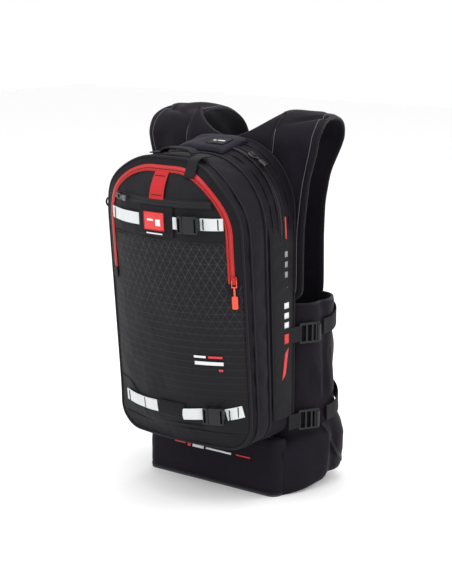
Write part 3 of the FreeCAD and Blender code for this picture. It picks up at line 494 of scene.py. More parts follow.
class Shelf:
    """Every finish, made once."""

    def __init__(self) -> None:
        """Builds the finishes that the pieces share."""
        body = (0.0058, 0.0044, 0.0078)
        self.shell = Softshell("softshell", body).material()
        self.vest = Softshell("vest_softshell", (0.0066, 0.0050, 0.0088), sheen=0.03).material()
        self.lining = Softshell("lining", (0.026, 0.025, 0.029), 0.8, 0.0018, 0.0001).material()
        self.purple = Softshell("patch_cloth", (0.0100, 0.0078, 0.0155), 0.6).material()
        self.plain = Softshell("charcoal_cloth", (0.0078, 0.0072, 0.0088), 0.6, 0.0009).material()
        self.front = FrontCloth().material()
        self.pale_web = Webbing("pale_webbing", (0.70, 0.73, 0.73)).material()
        self.dark_web = Webbing("black_webbing", (0.0085, 0.0078, 0.0098), 0.025).material()
        self.red_web = Webbing("red_webbing", (0.50, 0.020, 0.024), 0.022, 0.0016).material()
        self.red_body = ZipTape("red_zip_body", (0.47, 0.015, 0.014), 0.0160, stitch_at=0.0122).material()
        self.red_flap = ZipTape("red_zip_flap", (0.47, 0.015, 0.014), 0.0178, stitch_at=0.0196).material()
        self.black_zip = ZipTape("black_zip", (0.0075, 0.0070, 0.0088), 0.0, roughness=0.5,
                                 coat=0.0).material()
        self.piping = Softshell("piping_cloth", (0.0100, 0.0092, 0.0120), 0.5, 0.0008).material()
        self.thread = Webbing("thread", (0.012, 0.012, 0.013), 0.002, 0.0006).material()
        self.pale_thread = Print("pale_thread", (0.11, 0.105, 0.12)).material()
        self.plastic = Moulded("buckle_plastic", (0.0075, 0.0072, 0.0088), 0.34, gloss=0.28).material()
        self.red_rubber = Moulded("red_rubber", (0.72, 0.070, 0.035), 0.42).material()
        self.red_plastic = Moulded("red_plastic", (0.55, 0.020, 0.018), 0.3, coat=0.3).material()
        self.sheet_plastic = Moulded("sheet_plastic", (0.020, 0.020, 0.022), 0.5, 0.00008).material()
        self.dark_metal = Metal("dark_metal", (0.13, 0.13, 0.14), 0.34).material()
        self.red_metal = Metal("red_slider", (0.45, 0.016, 0.014), 0.4, 0.35).material()
        self.alloy = Metal("alloy", (0.62, 0.63, 0.65), 0.3).material()
        self.steel = Metal("steel", (0.5, 0.5, 0.52), 0.25).material()
        self.paint = Metal("cylinder_paint", (0.62, 0.62, 0.63), 0.4, 0.1).material()
        self.mesh = SpacerMesh("spacer_mesh", (0.018, 0.017, 0.021)).material()
        self.red_print = Print("red_print", (0.58, 0.030, 0.032)).material()
        self.white_print = Print("white_print", (0.70, 0.70, 0.72)).material()
        self.grey_print = Print("grey_print", (0.24, 0.24, 0.26)).material()
        self.airbag = Softshell("airbag_cloth", (0.62, 0.10, 0.03), 0.6).material()


# ------------------------------------------------------------------ surfaces on grids
def smooth(low: float, high: float, value: Array) -> Array:
    """Rises smoothly from 0 at low to 1 at high: the cubic 3t^2 - 2t^3 of the share between them."""
    t = np.clip((value - low) / (high - low), 0.0, 1.0)
    return t * t * (3 - 2 * t)


def hump(centre: float, width: float, value: Array) -> Array:
    """A bell, e to the minus square of the distance from the centre in widths."""
    return np.exp(-((value - centre) / width) ** 2)


def blunt(share: Array, power: float) -> Array:
    """A rounded slab's height across it: 1 in the middle and 0 at its edges, flatter for a higher power."""
    return np.sqrt(np.clip(1 - np.abs(share) ** power, 0.0, 1.0))


def eased(values: Array, reach: int) -> Array:
    """A list of numbers with its corners rounded: each is the mean of its neighbours within reach."""
    wide = np.pad(values, reach, mode="edge")
    kernel = np.hanning(2 * reach + 3)[1:-1]
    return np.convolve(wide, kernel / kernel.sum(), mode="valid")


def unit(vectors: Array) -> Array:
    """The vectors at length 1."""
    return vectors / np.maximum(np.linalg.norm(vectors, axis=-1, keepdims=True), 1e-9)


def xyz(x: Array, y: Array, z: Array) -> Array:
    """Points from their three coordinates, spread to one shape."""
    return np.stack(np.broadcast_arrays(x, y, z), axis=-1).astype(float)


def facing(points: Array) -> Array:
    """A grid's unit normals: the cross product of its steps along columns and rows."""
    return unit(np.cross(np.gradient(points, axis=1), np.gradient(points, axis=0)))


def lengths(points: Array) -> Array:
    """The distance along each row of points from its first."""
    steps = np.linalg.norm(np.diff(points, axis=-2), axis=-1)
    return np.concatenate([np.zeros((*steps.shape[:-1], 1)), np.cumsum(steps, axis=-1)], axis=-1)


class Ripple:
    """Wrinkles that are the same each time: slow sine waves in drawn directions, each bent by another."""

    def __init__(self, seed: int, length: float = 60.0, waves: int = 6, along: float = 1.0):
        """Draws the waves.

        Args:
            seed: which set of waves.
            length: their usual wavelength, in millimetres.
            waves: how many are added.
            along: below 1, they run mostly across v; above 1, mostly across u.
        """
        drawn = np.random.default_rng(seed)
        turn = drawn.uniform(0, TAU, waves)
        size = TAU / (length * drawn.uniform(0.6, 1.7, waves))
        self.ku = np.cos(turn) * size * along
        self.kv = np.sin(turn) * size / along
        self.start = drawn.uniform(0, TAU, (2, waves))
        self.share = drawn.uniform(0.5, 1.0, waves)
        self.share /= self.share.sum()

    def __call__(self, u: Array, v: Array) -> Array:
        """The wrinkles' height at (u, v), from about -1 to 1."""
        u, v = np.broadcast_arrays(u, v)
        total = np.zeros(u.shape)
        for ku, kv, first, second, share in zip(self.ku, self.kv, *self.start, self.share):
            bent = 1.2 * np.sin((kv * u - ku * v) * 0.45 + second)
            total += share * np.sin(ku * u + kv * v + first + bent)
        return total * 1.8


@dataclass
class Patch:
    """A surface of two parameters, as one grid of points.

    Attributes:
        points: places, in millimetres, by row and column.
        flat: the finish's coordinates there, with a last column again where the patch is a ring, and a
            last row again where it is a loop.
        ring: whether the last column joins the first.
        loop: whether the last row joins the first.
        zipped: whether the end rows are closed by joining each column to its mirror.
        fanned: whether the end rows are closed by a fan.
        finish: which of the piece's finishes it has.
    """

    points: Array
    flat: Array
    ring: bool = True
    loop: bool = False
    zipped: bool = False
    fanned: bool = False
    finish: int = 0

    def faces(self) -> tuple[Array, Array, Array]:
        """The patch's points and faces.

        Returns:
            The points, the quads' corners, and the flat coordinates of those corners.
        """
        rows, columns = self.points.shape[:2]
        i, j = np.meshgrid(np.arange(rows if self.loop else rows - 1),
                           np.arange(columns if self.ring else columns - 1), indexing="ij")
        i, j = i.ravel(), j.ravel()
        ci = np.stack([i, i, i + 1, i + 1], axis=1)
        cj = np.stack([j, j + 1, j + 1, j], axis=1)
        quads = (ci % rows) * columns + cj % columns
        flats = self.flat[ci, cj]
        points = self.points.reshape(-1, 3)
        if self.zipped:
            half = columns // 2
            k = np.arange(half - 1)
            mirror = columns - 1 - k
            for row in (0, rows - 1):
                ends = np.stack([k, mirror, mirror - 1, k + 1], axis=1)
                if row:
                    ends = ends[:, ::-1]
                quads = np.concatenate([quads, row * columns + ends])
                flats = np.concatenate([flats, self.flat[row, ends]])
        if self.fanned:
            k = np.arange(columns)
            for row in (0, rows - 1):
                centre = self.points[row].mean(axis=0)
                middle = np.full(columns, len(points))
                points = np.concatenate([points, centre[None]])
                step = (k + 1) % columns
                pair = (step, k) if row == 0 else (k, step)
                ends = np.stack([row * columns + pair[0], row * columns + pair[1], middle, middle], axis=1)
                quads = np.concatenate([quads, ends])
                around = self.flat[row]
                far = np.broadcast_to(around[:-1].mean(axis=0), (columns, 2))
                first, second = (k + 1, k) if row == 0 else (k, k + 1)
                flats = np.concatenate([flats, np.stack([around[first], around[second], far, far], axis=1)])
        corner = points[quads]
        volume = np.einsum("ij,ij->", np.cross(corner[:, 1] - corner[:, 0], corner[:, 2] - corner[:, 0]),
                           corner[:, 0])
        volume += np.einsum("ij,ij->", np.cross(corner[:, 2] - corner[:, 0], corner[:, 3] - corner[:, 0]),
                            corner[:, 0])
        if volume < 0:
            quads, flats = quads[:, ::-1], flats[:, ::-1]
        return points, quads, flats


def make(name: str, patches: list[Patch], finishes: list[bpy.types.Material]) -> bpy.types.Object:
    """One object from closed patches.

    Args:
        name: the piece's name.
        patches: its surfaces, each closed in itself.
        finishes: the materials that the patches choose from.
    Returns:
        The object, at the origin, with its place in its mesh.
    """
    points, corners, totals, flats, marks = [], [], [], [], []
    base = 0
    for patch in patches:
        own, quads, flat = patch.faces()
        triangle = quads[:, 2] == quads[:, 3]
        turned = quads[:, 0] == quads[:, 1]
        keep = np.ones(quads.shape, bool)
        keep[triangle, 3] = False
        keep[turned, 1] = False
        points.append(own)
        corners.append((quads + base)[keep])
        flats.append(flat[keep])
        totals.append(keep.sum(axis=1))
        marks.append(np.full(len(quads), patch.finish))
        base += len(own)
    total = np.concatenate(totals)
    corner = np.concatenate(corners)
    mesh = bpy.data.meshes.new(name)
    mesh.vertices.add(base)
    mesh.vertices.foreach_set("co", (np.concatenate(points) * MM).ravel())
    mesh.loops.add(len(corner))
    mesh.loops.foreach_set("vertex_index", corner.astype(np.int32))
    mesh.polygons.add(len(total))
    mesh.polygons.foreach_set("loop_start", np.concatenate([[0], np.cumsum(total)[:-1]]).astype(np.int32))
    for finish in finishes:
        mesh.materials.append(finish)
    mesh.update(calc_edges=True)
    mesh.polygons.foreach_set("material_index", np.concatenate(marks).astype(np.int32))
    mesh.polygons.foreach_set("use_smooth", np.ones(len(total), bool))
    layer = mesh.uv_layers.new(name="UVMap")
    layer.data.foreach_set("uv", (np.concatenate(flats) * MM).ravel())
    mesh.validate()
    made = bpy.data.objects.new(name, mesh)
    bpy.context.scene.collection.objects.link(made)
    log.info("%s: %d points", name, base)
    return made


def sew(name: str, patches: list[Patch], finishes: list[bpy.types.Material], slot: str, body: Body,
        *nodes: str) -> bpy.types.Object:
    """One object from closed patches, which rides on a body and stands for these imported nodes."""
    made = make(name, patches, finishes)
    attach(made, body)
    if nodes:
        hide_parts(*nodes)
    return made


def pad(middle: Array, out: Array, front: Array | float, back: Array | float, flat: Array,
        finish: int = 0) -> Patch:
    """A closed slab about a grid: its face is the grid moved out by front, its back moved in by back.

    Args:
        middle: the grid's points.
        out: which way is out, at each point.
        front: how far the face stands out.
        back: how far the back lies in.
        flat: the finish's coordinates on the grid.
        finish: which of the piece's finishes it has.
    Returns:
        The slab, with both of its surfaces joined round every edge.
    """
    shape = middle.shape[:2]
    face = middle + out * np.broadcast_to(front, shape)[..., None]
    rear = middle - out * np.broadcast_to(back, shape)[..., None]
    points = np.concatenate([face, rear[:, ::-1]], axis=1)
    flats = np.concatenate([flat, flat[:, ::-1], flat[:, :1]], axis=1)
    return Patch(points, flats, zipped=True, finish=finish)


def wall(middle: Array, out: Array, thickness: float, flat: Array, finish: int = 0) -> Patch:
    """A closed wall about a grid whose columns go all the way round: its outside is the grid itself.

    Args:
        middle: the outside's points.
        out: which way is out.
        thickness: the wall's.
        flat: the finish's coordinates, with one more column than the grid.
        finish: which of the piece's finishes it has.
    Returns:
        The wall, with its outside and inside joined at both rims.
    """
    inside = middle - out * thickness
    points = np.concatenate([middle, inside[::-1]], axis=0)
    flats = np.concatenate([flat, flat[::-1], flat[:1]], axis=0)
    return Patch(points, flats, ring=True, loop=True, finish=finish)


def tube(path: Array, side: Array, radius: Array | float, closed: bool = False, finish: int = 0,
         flatten: float = 1.0) -> Patch:
    """A round cord along a path: at each point, a circle across the path.

    Args:
        path: the line's points.
        side: a direction roughly across the path at each point.
        radius: the cord's, at each point or everywhere.
        closed: whether the path joins its own start.
        finish: which of the piece's finishes it has.
        flatten: the circle's height out of the side direction, as a share of its width.
    Returns:
        The cord.
    """
    if closed:
        tangent = unit(np.roll(path, -1, axis=0) - np.roll(path, 1, axis=0))
    else:
        tangent = unit(np.gradient(path, axis=0))
    side = np.broadcast_to(side, path.shape)
    side = unit(side - (side * tangent).sum(axis=1, keepdims=True) * tangent)
    other = np.cross(tangent, side)
    steps = 10
    angle = np.arange(steps) * TAU / steps
    radius = np.broadcast_to(radius, len(path))[:, None, None]
    circle = side[:, None] * np.cos(angle)[None, :, None] + other[:, None] * np.sin(angle)[None, :,
                                                                                           None] * flatten
    points = path[:, None] + circle * radius
    along = lengths(path)
    if closed:
        along = np.append(along, along[-1] + np.linalg.norm(path[0] - path[-1]))
    around = np.arange(steps + 1) * TAU / steps * float(radius.max())
    flat = np.stack(np.broadcast_arrays(along[:, None], around[None]), axis=-1)
    return Patch(points, flat, ring=True, loop=closed, fanned=not closed, finish=finish)


def strap(path: Array, out: Array, width: float, thickness: float = 1.5, finish: int = 0,
          across: Array | None = None,
          taper: Array | float = 1.0) -> Patch:
    """Flat webbing along a path: a grid across it, a little crowned, with rounded selvedges.

    Args:
        path: the webbing's middle line.
        out: which way its face looks, at each point.
        width: across the webbing.
        thickness: through it.
        finish: which of the piece's finishes it has.
        across: the direction of its width, if that isn't square to the path.
        taper: the width's share at each point.
    Returns:
        The webbing.
    """
    out = np.broadcast_to(out, path.shape)
    if across is None:
        across = unit(np.cross(out, unit(np.gradient(path, axis=0))))
    across = np.broadcast_to(across, path.shape)
    share = np.array([-1.0, -0.96, -0.88, -0.5, 0.0, 0.5, 0.88, 0.96, 1.0])
    thin = np.array([0.35, 0.8, 1.0, 1.0, 1.0, 1.0, 1.0, 0.8, 0.35]) * thickness / 2
    half = np.broadcast_to(taper, len(path))[:, None] * width / 2 * share[None]
    middle = path[:, None] + across[:, None] * half[..., None]
    flat = np.stack(np.broadcast_arrays(lengths(path)[:, None], half), axis=-1)
    outs = np.broadcast_to(out[:, None], middle.shape)
    rounding = np.broadcast_to(thin, middle.shape[:2])
    return pad(middle, outs, rounding, rounding, flat, finish)


# ------------------------------------------------------------------ the pack's form
@dataclass
class PackForm:
    """The stuffed pack's form, from which each piece sewn to it takes its place."""

    bottom: float = 92.0
    top_radius: float = 108.0
    bottom_radius: float = 40.0
    front_depth: float = 128.0
    front_lean: float = math.radians(5.0)
    middle_depth: float = 76.0
    middle_lean: float = math.radians(2.9)
    crown: float = 28.0
    split: float = 113.0
    half: float = field(init=False)
    rear_top: float = field(init=False)
    front_top: float = field(init=False)
    rear_y: float = field(init=False)

    def __post_init__(self) -> None:
        """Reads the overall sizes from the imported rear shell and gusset."""
        _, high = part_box("rear_shell")
        self.half = high.x / MM
        self.rear_top = high.z / MM
        self.rear_y = high.y / MM
        self.front_top = self.rear_top - 16.0
        self.radius = (self.split ** 2 + self.crown ** 2) / (2 * self.crown)

    def rim(self, top: float, inset: float = 0.0) -> tuple[Array, Array]:
        """The pack's outline: straight sides joined by quarter circles, from the bottom's middle round
        by the right.

        Args:
            top: height of its top.
            inset: how far inside the full outline it lies.
        Returns:
            The (x, height) points and their outward directions.
        """
        h, low, high = self.half - inset, self.bottom + inset, top - inset
        rt, rb = self.top_radius - inset, self.bottom_radius - inset
        points, outs = [], []

        def line(xa: float, za: float, xb: float, zb: float, way: tuple, count: int) -> None:
            """Adds a straight run."""
            t = np.arange(count) / count
            points.append(np.stack([xa + (xb - xa) * t, za + (zb - za) * t], axis=1))
            outs.append(np.tile(np.array(way, float), (count, 1)))

        def turn(cx: float, cz: float, r: float, start: float, count: int) -> None:
            """Adds a quarter circle."""
            a = np.radians(start + 90 * np.arange(count) / count)
            way = np.stack([np.cos(a), np.sin(a)], axis=1)
            points.append(np.array([cx, cz]) + way * r)
            outs.append(way)

        line(0, low, h - rb, low, (0, -1), 12)
        turn(h - rb, low + rb, rb, -90, 10)
        line(h, low + rb, h, high - rt, (1, 0), 60)
        turn(h - rt, high - rt, rt, 0, 40)
        line(h - rt, high, -h + rt, high, (0, 1), 14)
        turn(-h + rt, high - rt, rt, 90, 40)
        line(-h, high - rt, -h, low + rb, (-1, 0), 60)
        turn(-h + rb, low + rb, rb, 180, 10)
        line(-h + rb, low, 0, low, (0, -1), 12)
        return np.concatenate(points), np.concatenate(outs)

    def half_at(self, v: Array, inset: float = 0.0) -> Array:
        """Half the front's width at that height: full between the corners, and on their circles there."""
        h = self.half - inset
        top = self.front_top - inset
        rt, rb = self.top_radius - inset, self.bottom_radius - inset
        up = np.clip(v - (top - rt), 0, rt)
        down = np.clip(self.bottom + inset + rb - v, 0, rb)
        return h - rt + np.sqrt(np.maximum(rt ** 2 - up ** 2,
                                           0)) - rb + np.sqrt(np.maximum(rb ** 2 - down ** 2, 0))

    def swell(self, x: Array, v: Array) -> Array:
        """How far the stuffed front stands out: a cylinder's crown, that sinks towards the top and the
        bottom, and rolls back at the very top."""
        x = np.minimum(np.abs(x), self.half)
        crown = self.crown + np.sqrt(self.radius ** 2 - x ** 2) - self.radius
        sunk = 1 - 0.72 * hump(self.front_top, 42.0, v) - 0.55 * hump(self.bottom, 36.0, v)
        return crown * sunk - 11.0 * hump(self.front_top + 2, 26.0, v) - 4.0 * hump(self.bottom, 22.0, v)

    def front(self, x: Array, v: Array, lift: Array | float = 0.0) -> Array:
        """Places on the front, across and up it, raised along its own normal by lift."""
        x, v = np.broadcast_arrays(np.asarray(x, float), np.asarray(v, float))
        step = 1.0
        depth = self.swell(x, v)
        slope_x = (self.swell(x + step, v) - self.swell(x - step, v)) / (2 * step)
        slope_v = (self.swell(x, v + step) - self.swell(x, v - step)) / (2 * step)
        way = unit(np.stack([-slope_x, np.ones_like(slope_x), -slope_v], axis=-1))
        lift = np.broadcast_to(lift, x.shape)[..., None]
        own = np.stack([x, depth, v], axis=-1) + way * lift
        return self.lean(own[..., 0], -own[..., 1], own[..., 2], self.front_depth, self.front_lean)

    def lean(self, x: Array, y: Array, v: Array, depth: float, angle: float) -> Array:
        """From a leaning plane's own axes to the frame's."""
        return xyz(x, -depth + y * math.cos(angle) - v * math.sin(angle),
                   y * math.sin(angle) + v * math.cos(angle))

    def front_out(self, x: Array, v: Array) -> Array:
        """The front's outward normal at those places."""
        return unit(self.front(x, v, 1.0) - self.front(x, v, 0.0))

    def seam(self, which: str) -> tuple[Array, Array]:
        """One of the three outlines round the pack, in the frame.

        Args:
            which: front, middle or rear.
        Returns:
            Its points and outward directions.
        """
        flat, way = self.rim(self.rear_top if which == "rear" else self.front_top)
        x, v = flat[:, 0], flat[:, 1]
        out = xyz(way[:, 0], 0 * x, way[:, 1])
        if which == "front":
            return self.lean(x, -self.swell(x, v), v, self.front_depth, self.front_lean), out
        if which == "middle":
            return self.lean(x, 0 * x, v, self.middle_depth, self.middle_lean), out
        return xyz(x, 0 * x + self.rear_y, v), out

    def between(self, near: str, far: str, share: Array, bulge: float, ripple: Ripple | None = None,
                size: float = 0.0) -> tuple[Array, Array, Array]:
        """A gusset between two outlines: straight from one to the other, swelling outwards between them
        by a half sine, with wrinkles that die away at both seams.

        Args:
            near: the outline at share 0.
            far: the one at share 1.
            share: the rows.
            bulge: how far it swells.
            ripple: its wrinkles.
            size: their height.
        Returns:
            The grid, its outward directions, and its flat coordinates.
        """
        a, out = self.seam(near)
        b, _ = self.seam(far)
        t = np.asarray(share, float)[:, None]
        along = lengths(a)
        width = np.linalg.norm(b - a, axis=1).mean()
        swell = bulge * np.sin(np.pi * t) * (1 - 0.85 * smooth(400, 470, a[:, 2]))[None]
        if ripple is not None:
            swell = swell + size * ripple(along[None], t * width) * np.sin(np.pi * t) ** 0.7
        points = a[None] * (1 - t[..., None]) + b[None] * t[..., None] + out[None] * swell[..., None]
        ends = np.append(along, along[-1] + np.linalg.norm(a[0] - a[-1]))
        flat = np.stack(np.broadcast_arrays(ends[None], t * width), axis=-1)
        return points, np.broadcast_to(out[None], points.shape), flat


form = PackForm()


def u_path(inset: float, foot: float) -> tuple[Array, Array]:
    """The zip's way round the front, at one inset: up the left, over the top and down the right.

    Args:
        inset: from the front's edge.
        foot: height of its two ends.
    Returns:
        Its places across and up the front.
    """
    flat, _ = form.rim(form.front_top, inset)
    start = 12 + 10
    ring = flat[start:start + 60 + 40 + 14 + 40 + 60 + 1]
    ring = ring[ring[:, 1] >= foot]
    h = form.half - inset
    ring = np.concatenate([[[h, foot]], ring, [[-h, foot]]])
    return ring[::-1, 0], ring[::-1, 1]


# ------------------------------------------------------------------ the pack's compartments
@dataclass
class Compartments:
    """The gear gusset and the airbag gusset, their piping, the divider, the rear lining and the lid."""

    wall: float = 2.4
    bulge: float = 3.0
    lid_half: float = 46.0
    cover_low: float = 128.0
    cover_high: float = 447.0

    def gusset(self, near: str, far: str, name: str, node: str, finish: bpy.types.Material,
               seed: int) -> None:
        """A gusset between two seams, as a wall all the way round."""
        share = np.linspace(0, 1, 26)
        points, out, flat = form.between(near, far, share, self.bulge, Ripple(seed, 46, 8, 1.5), 1.3)
        sew(name, [wall(points, out, self.wall, flat)], [finish], "body_cloth", Body.PACK, node)

    def pipe(self, name: str, near: str, far: str, share: float, lift: float, radius: float,
             shelf: Shelf) -> None:
        """Piping along one line of a gusset, raised from it by lift."""
        points, out, _ = form.between(near, far, np.array([share]), self.bulge)
        path = points[0] + out[0] * lift
        sew(name, [tube(path, out[0], radius, closed=True)], [shelf.piping], "body_cloth", Body.PACK)

    def on_rear(self, z: Array, share: Array, lift: float, side: int = 1) -> tuple[Array, Array, Array]:
        """Places on the airbag gusset's straight flank.

        Args:
            z: heights, one for each row.
            share: how far from the middle seam to the rear one, one for each column.
            lift: off the gusset.
            side: 1 for the wearer's right.
        Returns:
            The grid, its outward directions, and its flat coordinates.
        """
        z, share = np.meshgrid(z, share, indexing="ij")
        front_y = -form.middle_depth - z * math.tan(form.middle_lean)
        y = front_y + (form.rear_y - front_y) * share
        top = form.front_top + (form.rear_top - form.front_top) * share - form.top_radius
        up = np.clip(z - top, 0, form.top_radius)
        angle = np.arcsin(np.clip(up / form.top_radius, 0, 1))
        swell = self.bulge * np.sin(np.pi * share) * (1 - 0.85 * smooth(400, 470, z)) + lift
        x = form.half - form.top_radius + (form.top_radius + swell) * np.cos(angle)
        out = xyz(side * np.cos(angle), 0 * z, np.sin(angle))
        return xyz(side * x, y, z + swell * np.sin(angle)), out, np.stack([z, y], axis=-1)

    def roof(self, x: Array, share: Array, lift: Array | float) -> tuple[Array, Array]:
        """Places over the airbag gusset's top, and the way out there."""
        over = np.clip(np.abs(x) - (form.half - form.top_radius), 0, form.top_radius)
        angle = np.arcsin(np.clip(over / form.top_radius, 0, 0.999))
        top = form.front_top + (form.rear_top - form.front_top) * share
        front_y = -form.middle_depth - form.front_top * math.tan(form.middle_lean)
        y = front_y + (form.rear_y - front_y) * share
        out = xyz(np.sign(x) * np.sin(angle), 0 * share, np.cos(angle))
        rise = top - form.top_radius + form.top_radius * np.cos(angle)
        return xyz(x, y, rise) + out * np.broadcast_to(lift, rise.shape)[..., None], out

    def cover(self, side: int, shelf: Shelf) -> None:
        """The tear-open cover over one burst seam, with its bound edges and plain marks."""
        word = "right" if side > 0 else "left"
        z = np.linspace(self.cover_low, self.cover_high, 90)
        share = np.linspace(0.12, 0.90, 22)
        points, out, flat = self.on_rear(z, share, 1.2, side)
        edge = 1 - np.abs(np.linspace(-1, 1, len(share))) ** 8
        wave = Ripple(31, 70, 5, 2.0)(flat[..., 0], flat[..., 1]) * 0.5 * edge[None]
        sunk = -2.6 * smooth(self.cover_high - 45, self.cover_high, z)[:, None, None]
        points = points + out * sunk
        patches = [pad(points + out * wave[..., None], out, 0.9 * edge[None] + 0.25, 0.8, flat)]
        for column in (0, -1):
            patches.append(tube(points[:, column] + out[:, column] * 0.4, out[:, column], 1.1, finish=1))
        made = sew("burst_cover_" + word, patches, [shelf.plain, shelf.piping], "body_cloth", Body.PACK)
        if side > 0:
            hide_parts("burst_covers")
        self.marks(side, word, shelf)

    def marks(self, side: int, word: str, shelf: Shelf) -> None:
        """Plain stripes and blocks down a burst cover."""
        patches = []

        def stripe(low: float, high: float, first: float, last: float, finish: int,
                   slant: float = 0.0) -> None:
            """One flat mark between two heights."""
            z = np.linspace(low, high, max(3, int((high - low) / 4)))
            share = np.linspace(first, last, 4)
            points, out, flat = self.on_rear(z, share, 2.6, side)
            points[..., 2] += (np.linspace(-1, 1, 4) * slant)[None]
            points[..., 1] += (np.linspace(-1, 1, len(z)) * slant)[:, None]
            patches.append(pad(points, out, 0.25, 0.5, flat, finish))

        stripe(412, 446, 0.60, 0.64, 0)
        for low in (336, 352, 368, 384):
            stripe(low, low + 9, 0.57, 0.67, 2)
        for low in (272, 287, 303):
            stripe(low, low + 9, 0.54, 0.72, 1)
        stripe(247, 262, 0.54, 0.72, 0)
        stripe(194, 236, 0.50, 0.64, 0, 4.0)
        sew("cover_marks_" + word, patches, [shelf.red_print, shelf.white_print, shelf.grey_print],
            "printed_band", Body.PACK)

    def lid(self, shelf: Shelf) -> None:
        """The lid over the main zip, with a stitched patch."""
        x = np.linspace(-self.lid_half, self.lid_half, 70)[:, None]
        share = np.linspace(0.10, 0.92, 30)[None]
        x, share = np.broadcast_arrays(x, share)
        rounded = blunt(x / self.lid_half, 6) * blunt((share - 0.51) / 0.41, 6)
        wave = Ripple(12, 40, 6)(x, share * 80)
        points, out = self.roof(x, share, 1.4 + 6.0 * rounded + 0.9 * wave * rounded)
        flat = np.stack([x, share * 80], axis=-1)
        half = 0.15 + 0.85 * rounded
        made = sew("lid_cloth", [pad(points, out, half, half, flat)], [shelf.purple], "front_cloth",
                   Body.PACK, "top_flap")

        patch_x = np.linspace(2, 34, 14)[:, None]
        patch_s = np.linspace(0.28, 0.62, 10)[None]
        patch_x, patch_s = np.broadcast_arrays(patch_x, patch_s)
        points, out = self.roof(patch_x, patch_s, 8.6)
        flat = np.stack([patch_x, patch_s * 80], axis=-1)
        label = [pad(points, out, 0.4, 0.8, flat)]
        rim = np.concatenate([points[:, 0], points[-1, 1:], points[-2::-1, -1], points[0, -2:0:-1]])
        label.append(tube(rim + [0, 0, 0.3], np.array([0, 0, 1.0]), 0.5, closed=True, finish=1))
        for low, high in ((7, 13), (16, 29)):
            bar_x, bar_s = np.broadcast_arrays(np.linspace(low, high, 6)[:, None],
                                               np.linspace(0.43, 0.47, 3)[None])
            points, out = self.roof(bar_x, bar_s, 9.1)
            label.append(pad(points, out, 0.1, 0.3, np.stack([bar_x, bar_s * 80], axis=-1), 2))
        sew("lid_label", label, [shelf.lining, shelf.thread, shelf.white_print], "printed_band", Body.PACK)

    def main_zip(self, shelf: Shelf) -> None:
        """The main zip: a ribbed tape round the top of the airbag gusset, between two folded edges."""
        points, out, _ = form.between("middle", "rear", np.array([0.44, 0.5, 0.56]), self.bulge)
        keep = np.nonzero(points[1, :, 2] > 408)[0]
        path, face = points[:, keep], out[1, keep]
        across = np.tile([0.0, 1.0, 0.0], (len(keep), 1))
        tape = strap(path[1] + face * 0.8, face, 15.0, 1.6, across=across)
        edges = [tube(path[row] + face * 1.4, face, 1.5, finish=1) for row in (0, 2)]
        sew("main_zip", [tape, *edges], [shelf.black_zip, shelf.piping], "zip_tape", Body.PACK)
        ribs = []
        for share in (0.24, 0.80):
            rib, rib_out, _ = form.between("middle", "rear", np.array([share]), self.bulge)
            line = rib[0, keep] + rib_out[0, keep] * (0.5 + 0.5 * Ripple(int(share * 100), 30)(
                np.arange(len(keep)) * 6.0, 0 * keep))[:, None]
            ribs.append(tube(line, rib_out[0, keep], 0.7, flatten=2.2))
        sew("zip_gathers", ribs, [shelf.shell], "body_cloth", Body.PACK)

    def floor_and_divider(self, shelf: Shelf) -> None:
        """The cloth wall between the compartments, and the pocket of cloth that closes the rear."""
        v = np.concatenate([form.bottom + 34 * (1 - np.cos(np.linspace(0, np.pi / 2, 9))),
                            np.linspace(130, 430, 40),
                            form.front_top - form.top_radius * (1 - np.sin(np.linspace(0.05, np.pi / 2,
                                                                                       26)))])
        v = np.clip(v, form.bottom + 0.3, form.front_top - 0.6)
        share = np.linspace(-1, 1, 50)
        x = form.half_at(v, 0.6)[:, None] * share[None]
        rows = np.broadcast_to(v[:, None], x.shape)
        wave = Ripple(77, 90, 7)(x, rows) * (1 - share[None] ** 4) * 0.9
        points = form.lean(x, wave - 1.3, rows, form.middle_depth, form.middle_lean)
        out = np.broadcast_to([0.0, -1.0, 0.0], points.shape)
        flat = np.stack([x, rows], axis=-1)
        made = sew("divider", [pad(points, out, 1.0, 0.9, flat)], [shelf.lining], "body_cloth", Body.PACK,
                   "divider_panel")
        top = form.rear_top - form.front_top
        x = form.half_at(v, 0.8)[:, None] * share[None]
        rows = np.broadcast_to((v + top * smooth(200, 400, v))[:, None], x.shape)
        flat = np.stack([x, rows], axis=-1)
        panel = pad(xyz(x, form.rear_y - 1.4, rows), out, 0.6, 0.6, flat)
        sew("rear_lining", [panel], [shelf.shell], "body_cloth", Body.PACK)

    def airbags(self, shelf: Shelf) -> None:
        """The two airbags, folded in pleats down the flanks."""
        low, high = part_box("airbags")
        bottom, top = low.z / MM + 6, high.z / MM - 6
        depth = (low.y / MM + 4, high.y / MM - 4)
        patches = []
        for side in (-1, 1):
            z = np.linspace(bottom, top, 70)
            angle = np.linspace(0, TAU, 49)[:-1]
            pleat = 1 + 0.10 * np.sin(angle * 7)[None] + 0.03 * Ripple(5, 50)(z[:, None], angle[None] * 8)
            end = np.sqrt(1 - np.abs(np.linspace(-1, 1, 70)) ** 12 * 0.9)[:, None]
            centre_x = side * (high.x / MM - 17)
            x = centre_x + 14 * pleat * end * np.cos(angle)[None]
            y = sum(depth) / 2 + (depth[1] - depth[0]) / 2 * 0.9 * pleat * end * np.sin(angle)[None]
            flat = np.stack(np.broadcast_arrays(np.linspace(0, 110, 49)[None], z[:, None]), axis=-1)
            patches.append(Patch(xyz(x, y, z[:, None]), flat, fanned=True))
        sew("folded_airbags", patches, [shelf.airbag], "airbag_cloth", Body.PACK, "airbags")

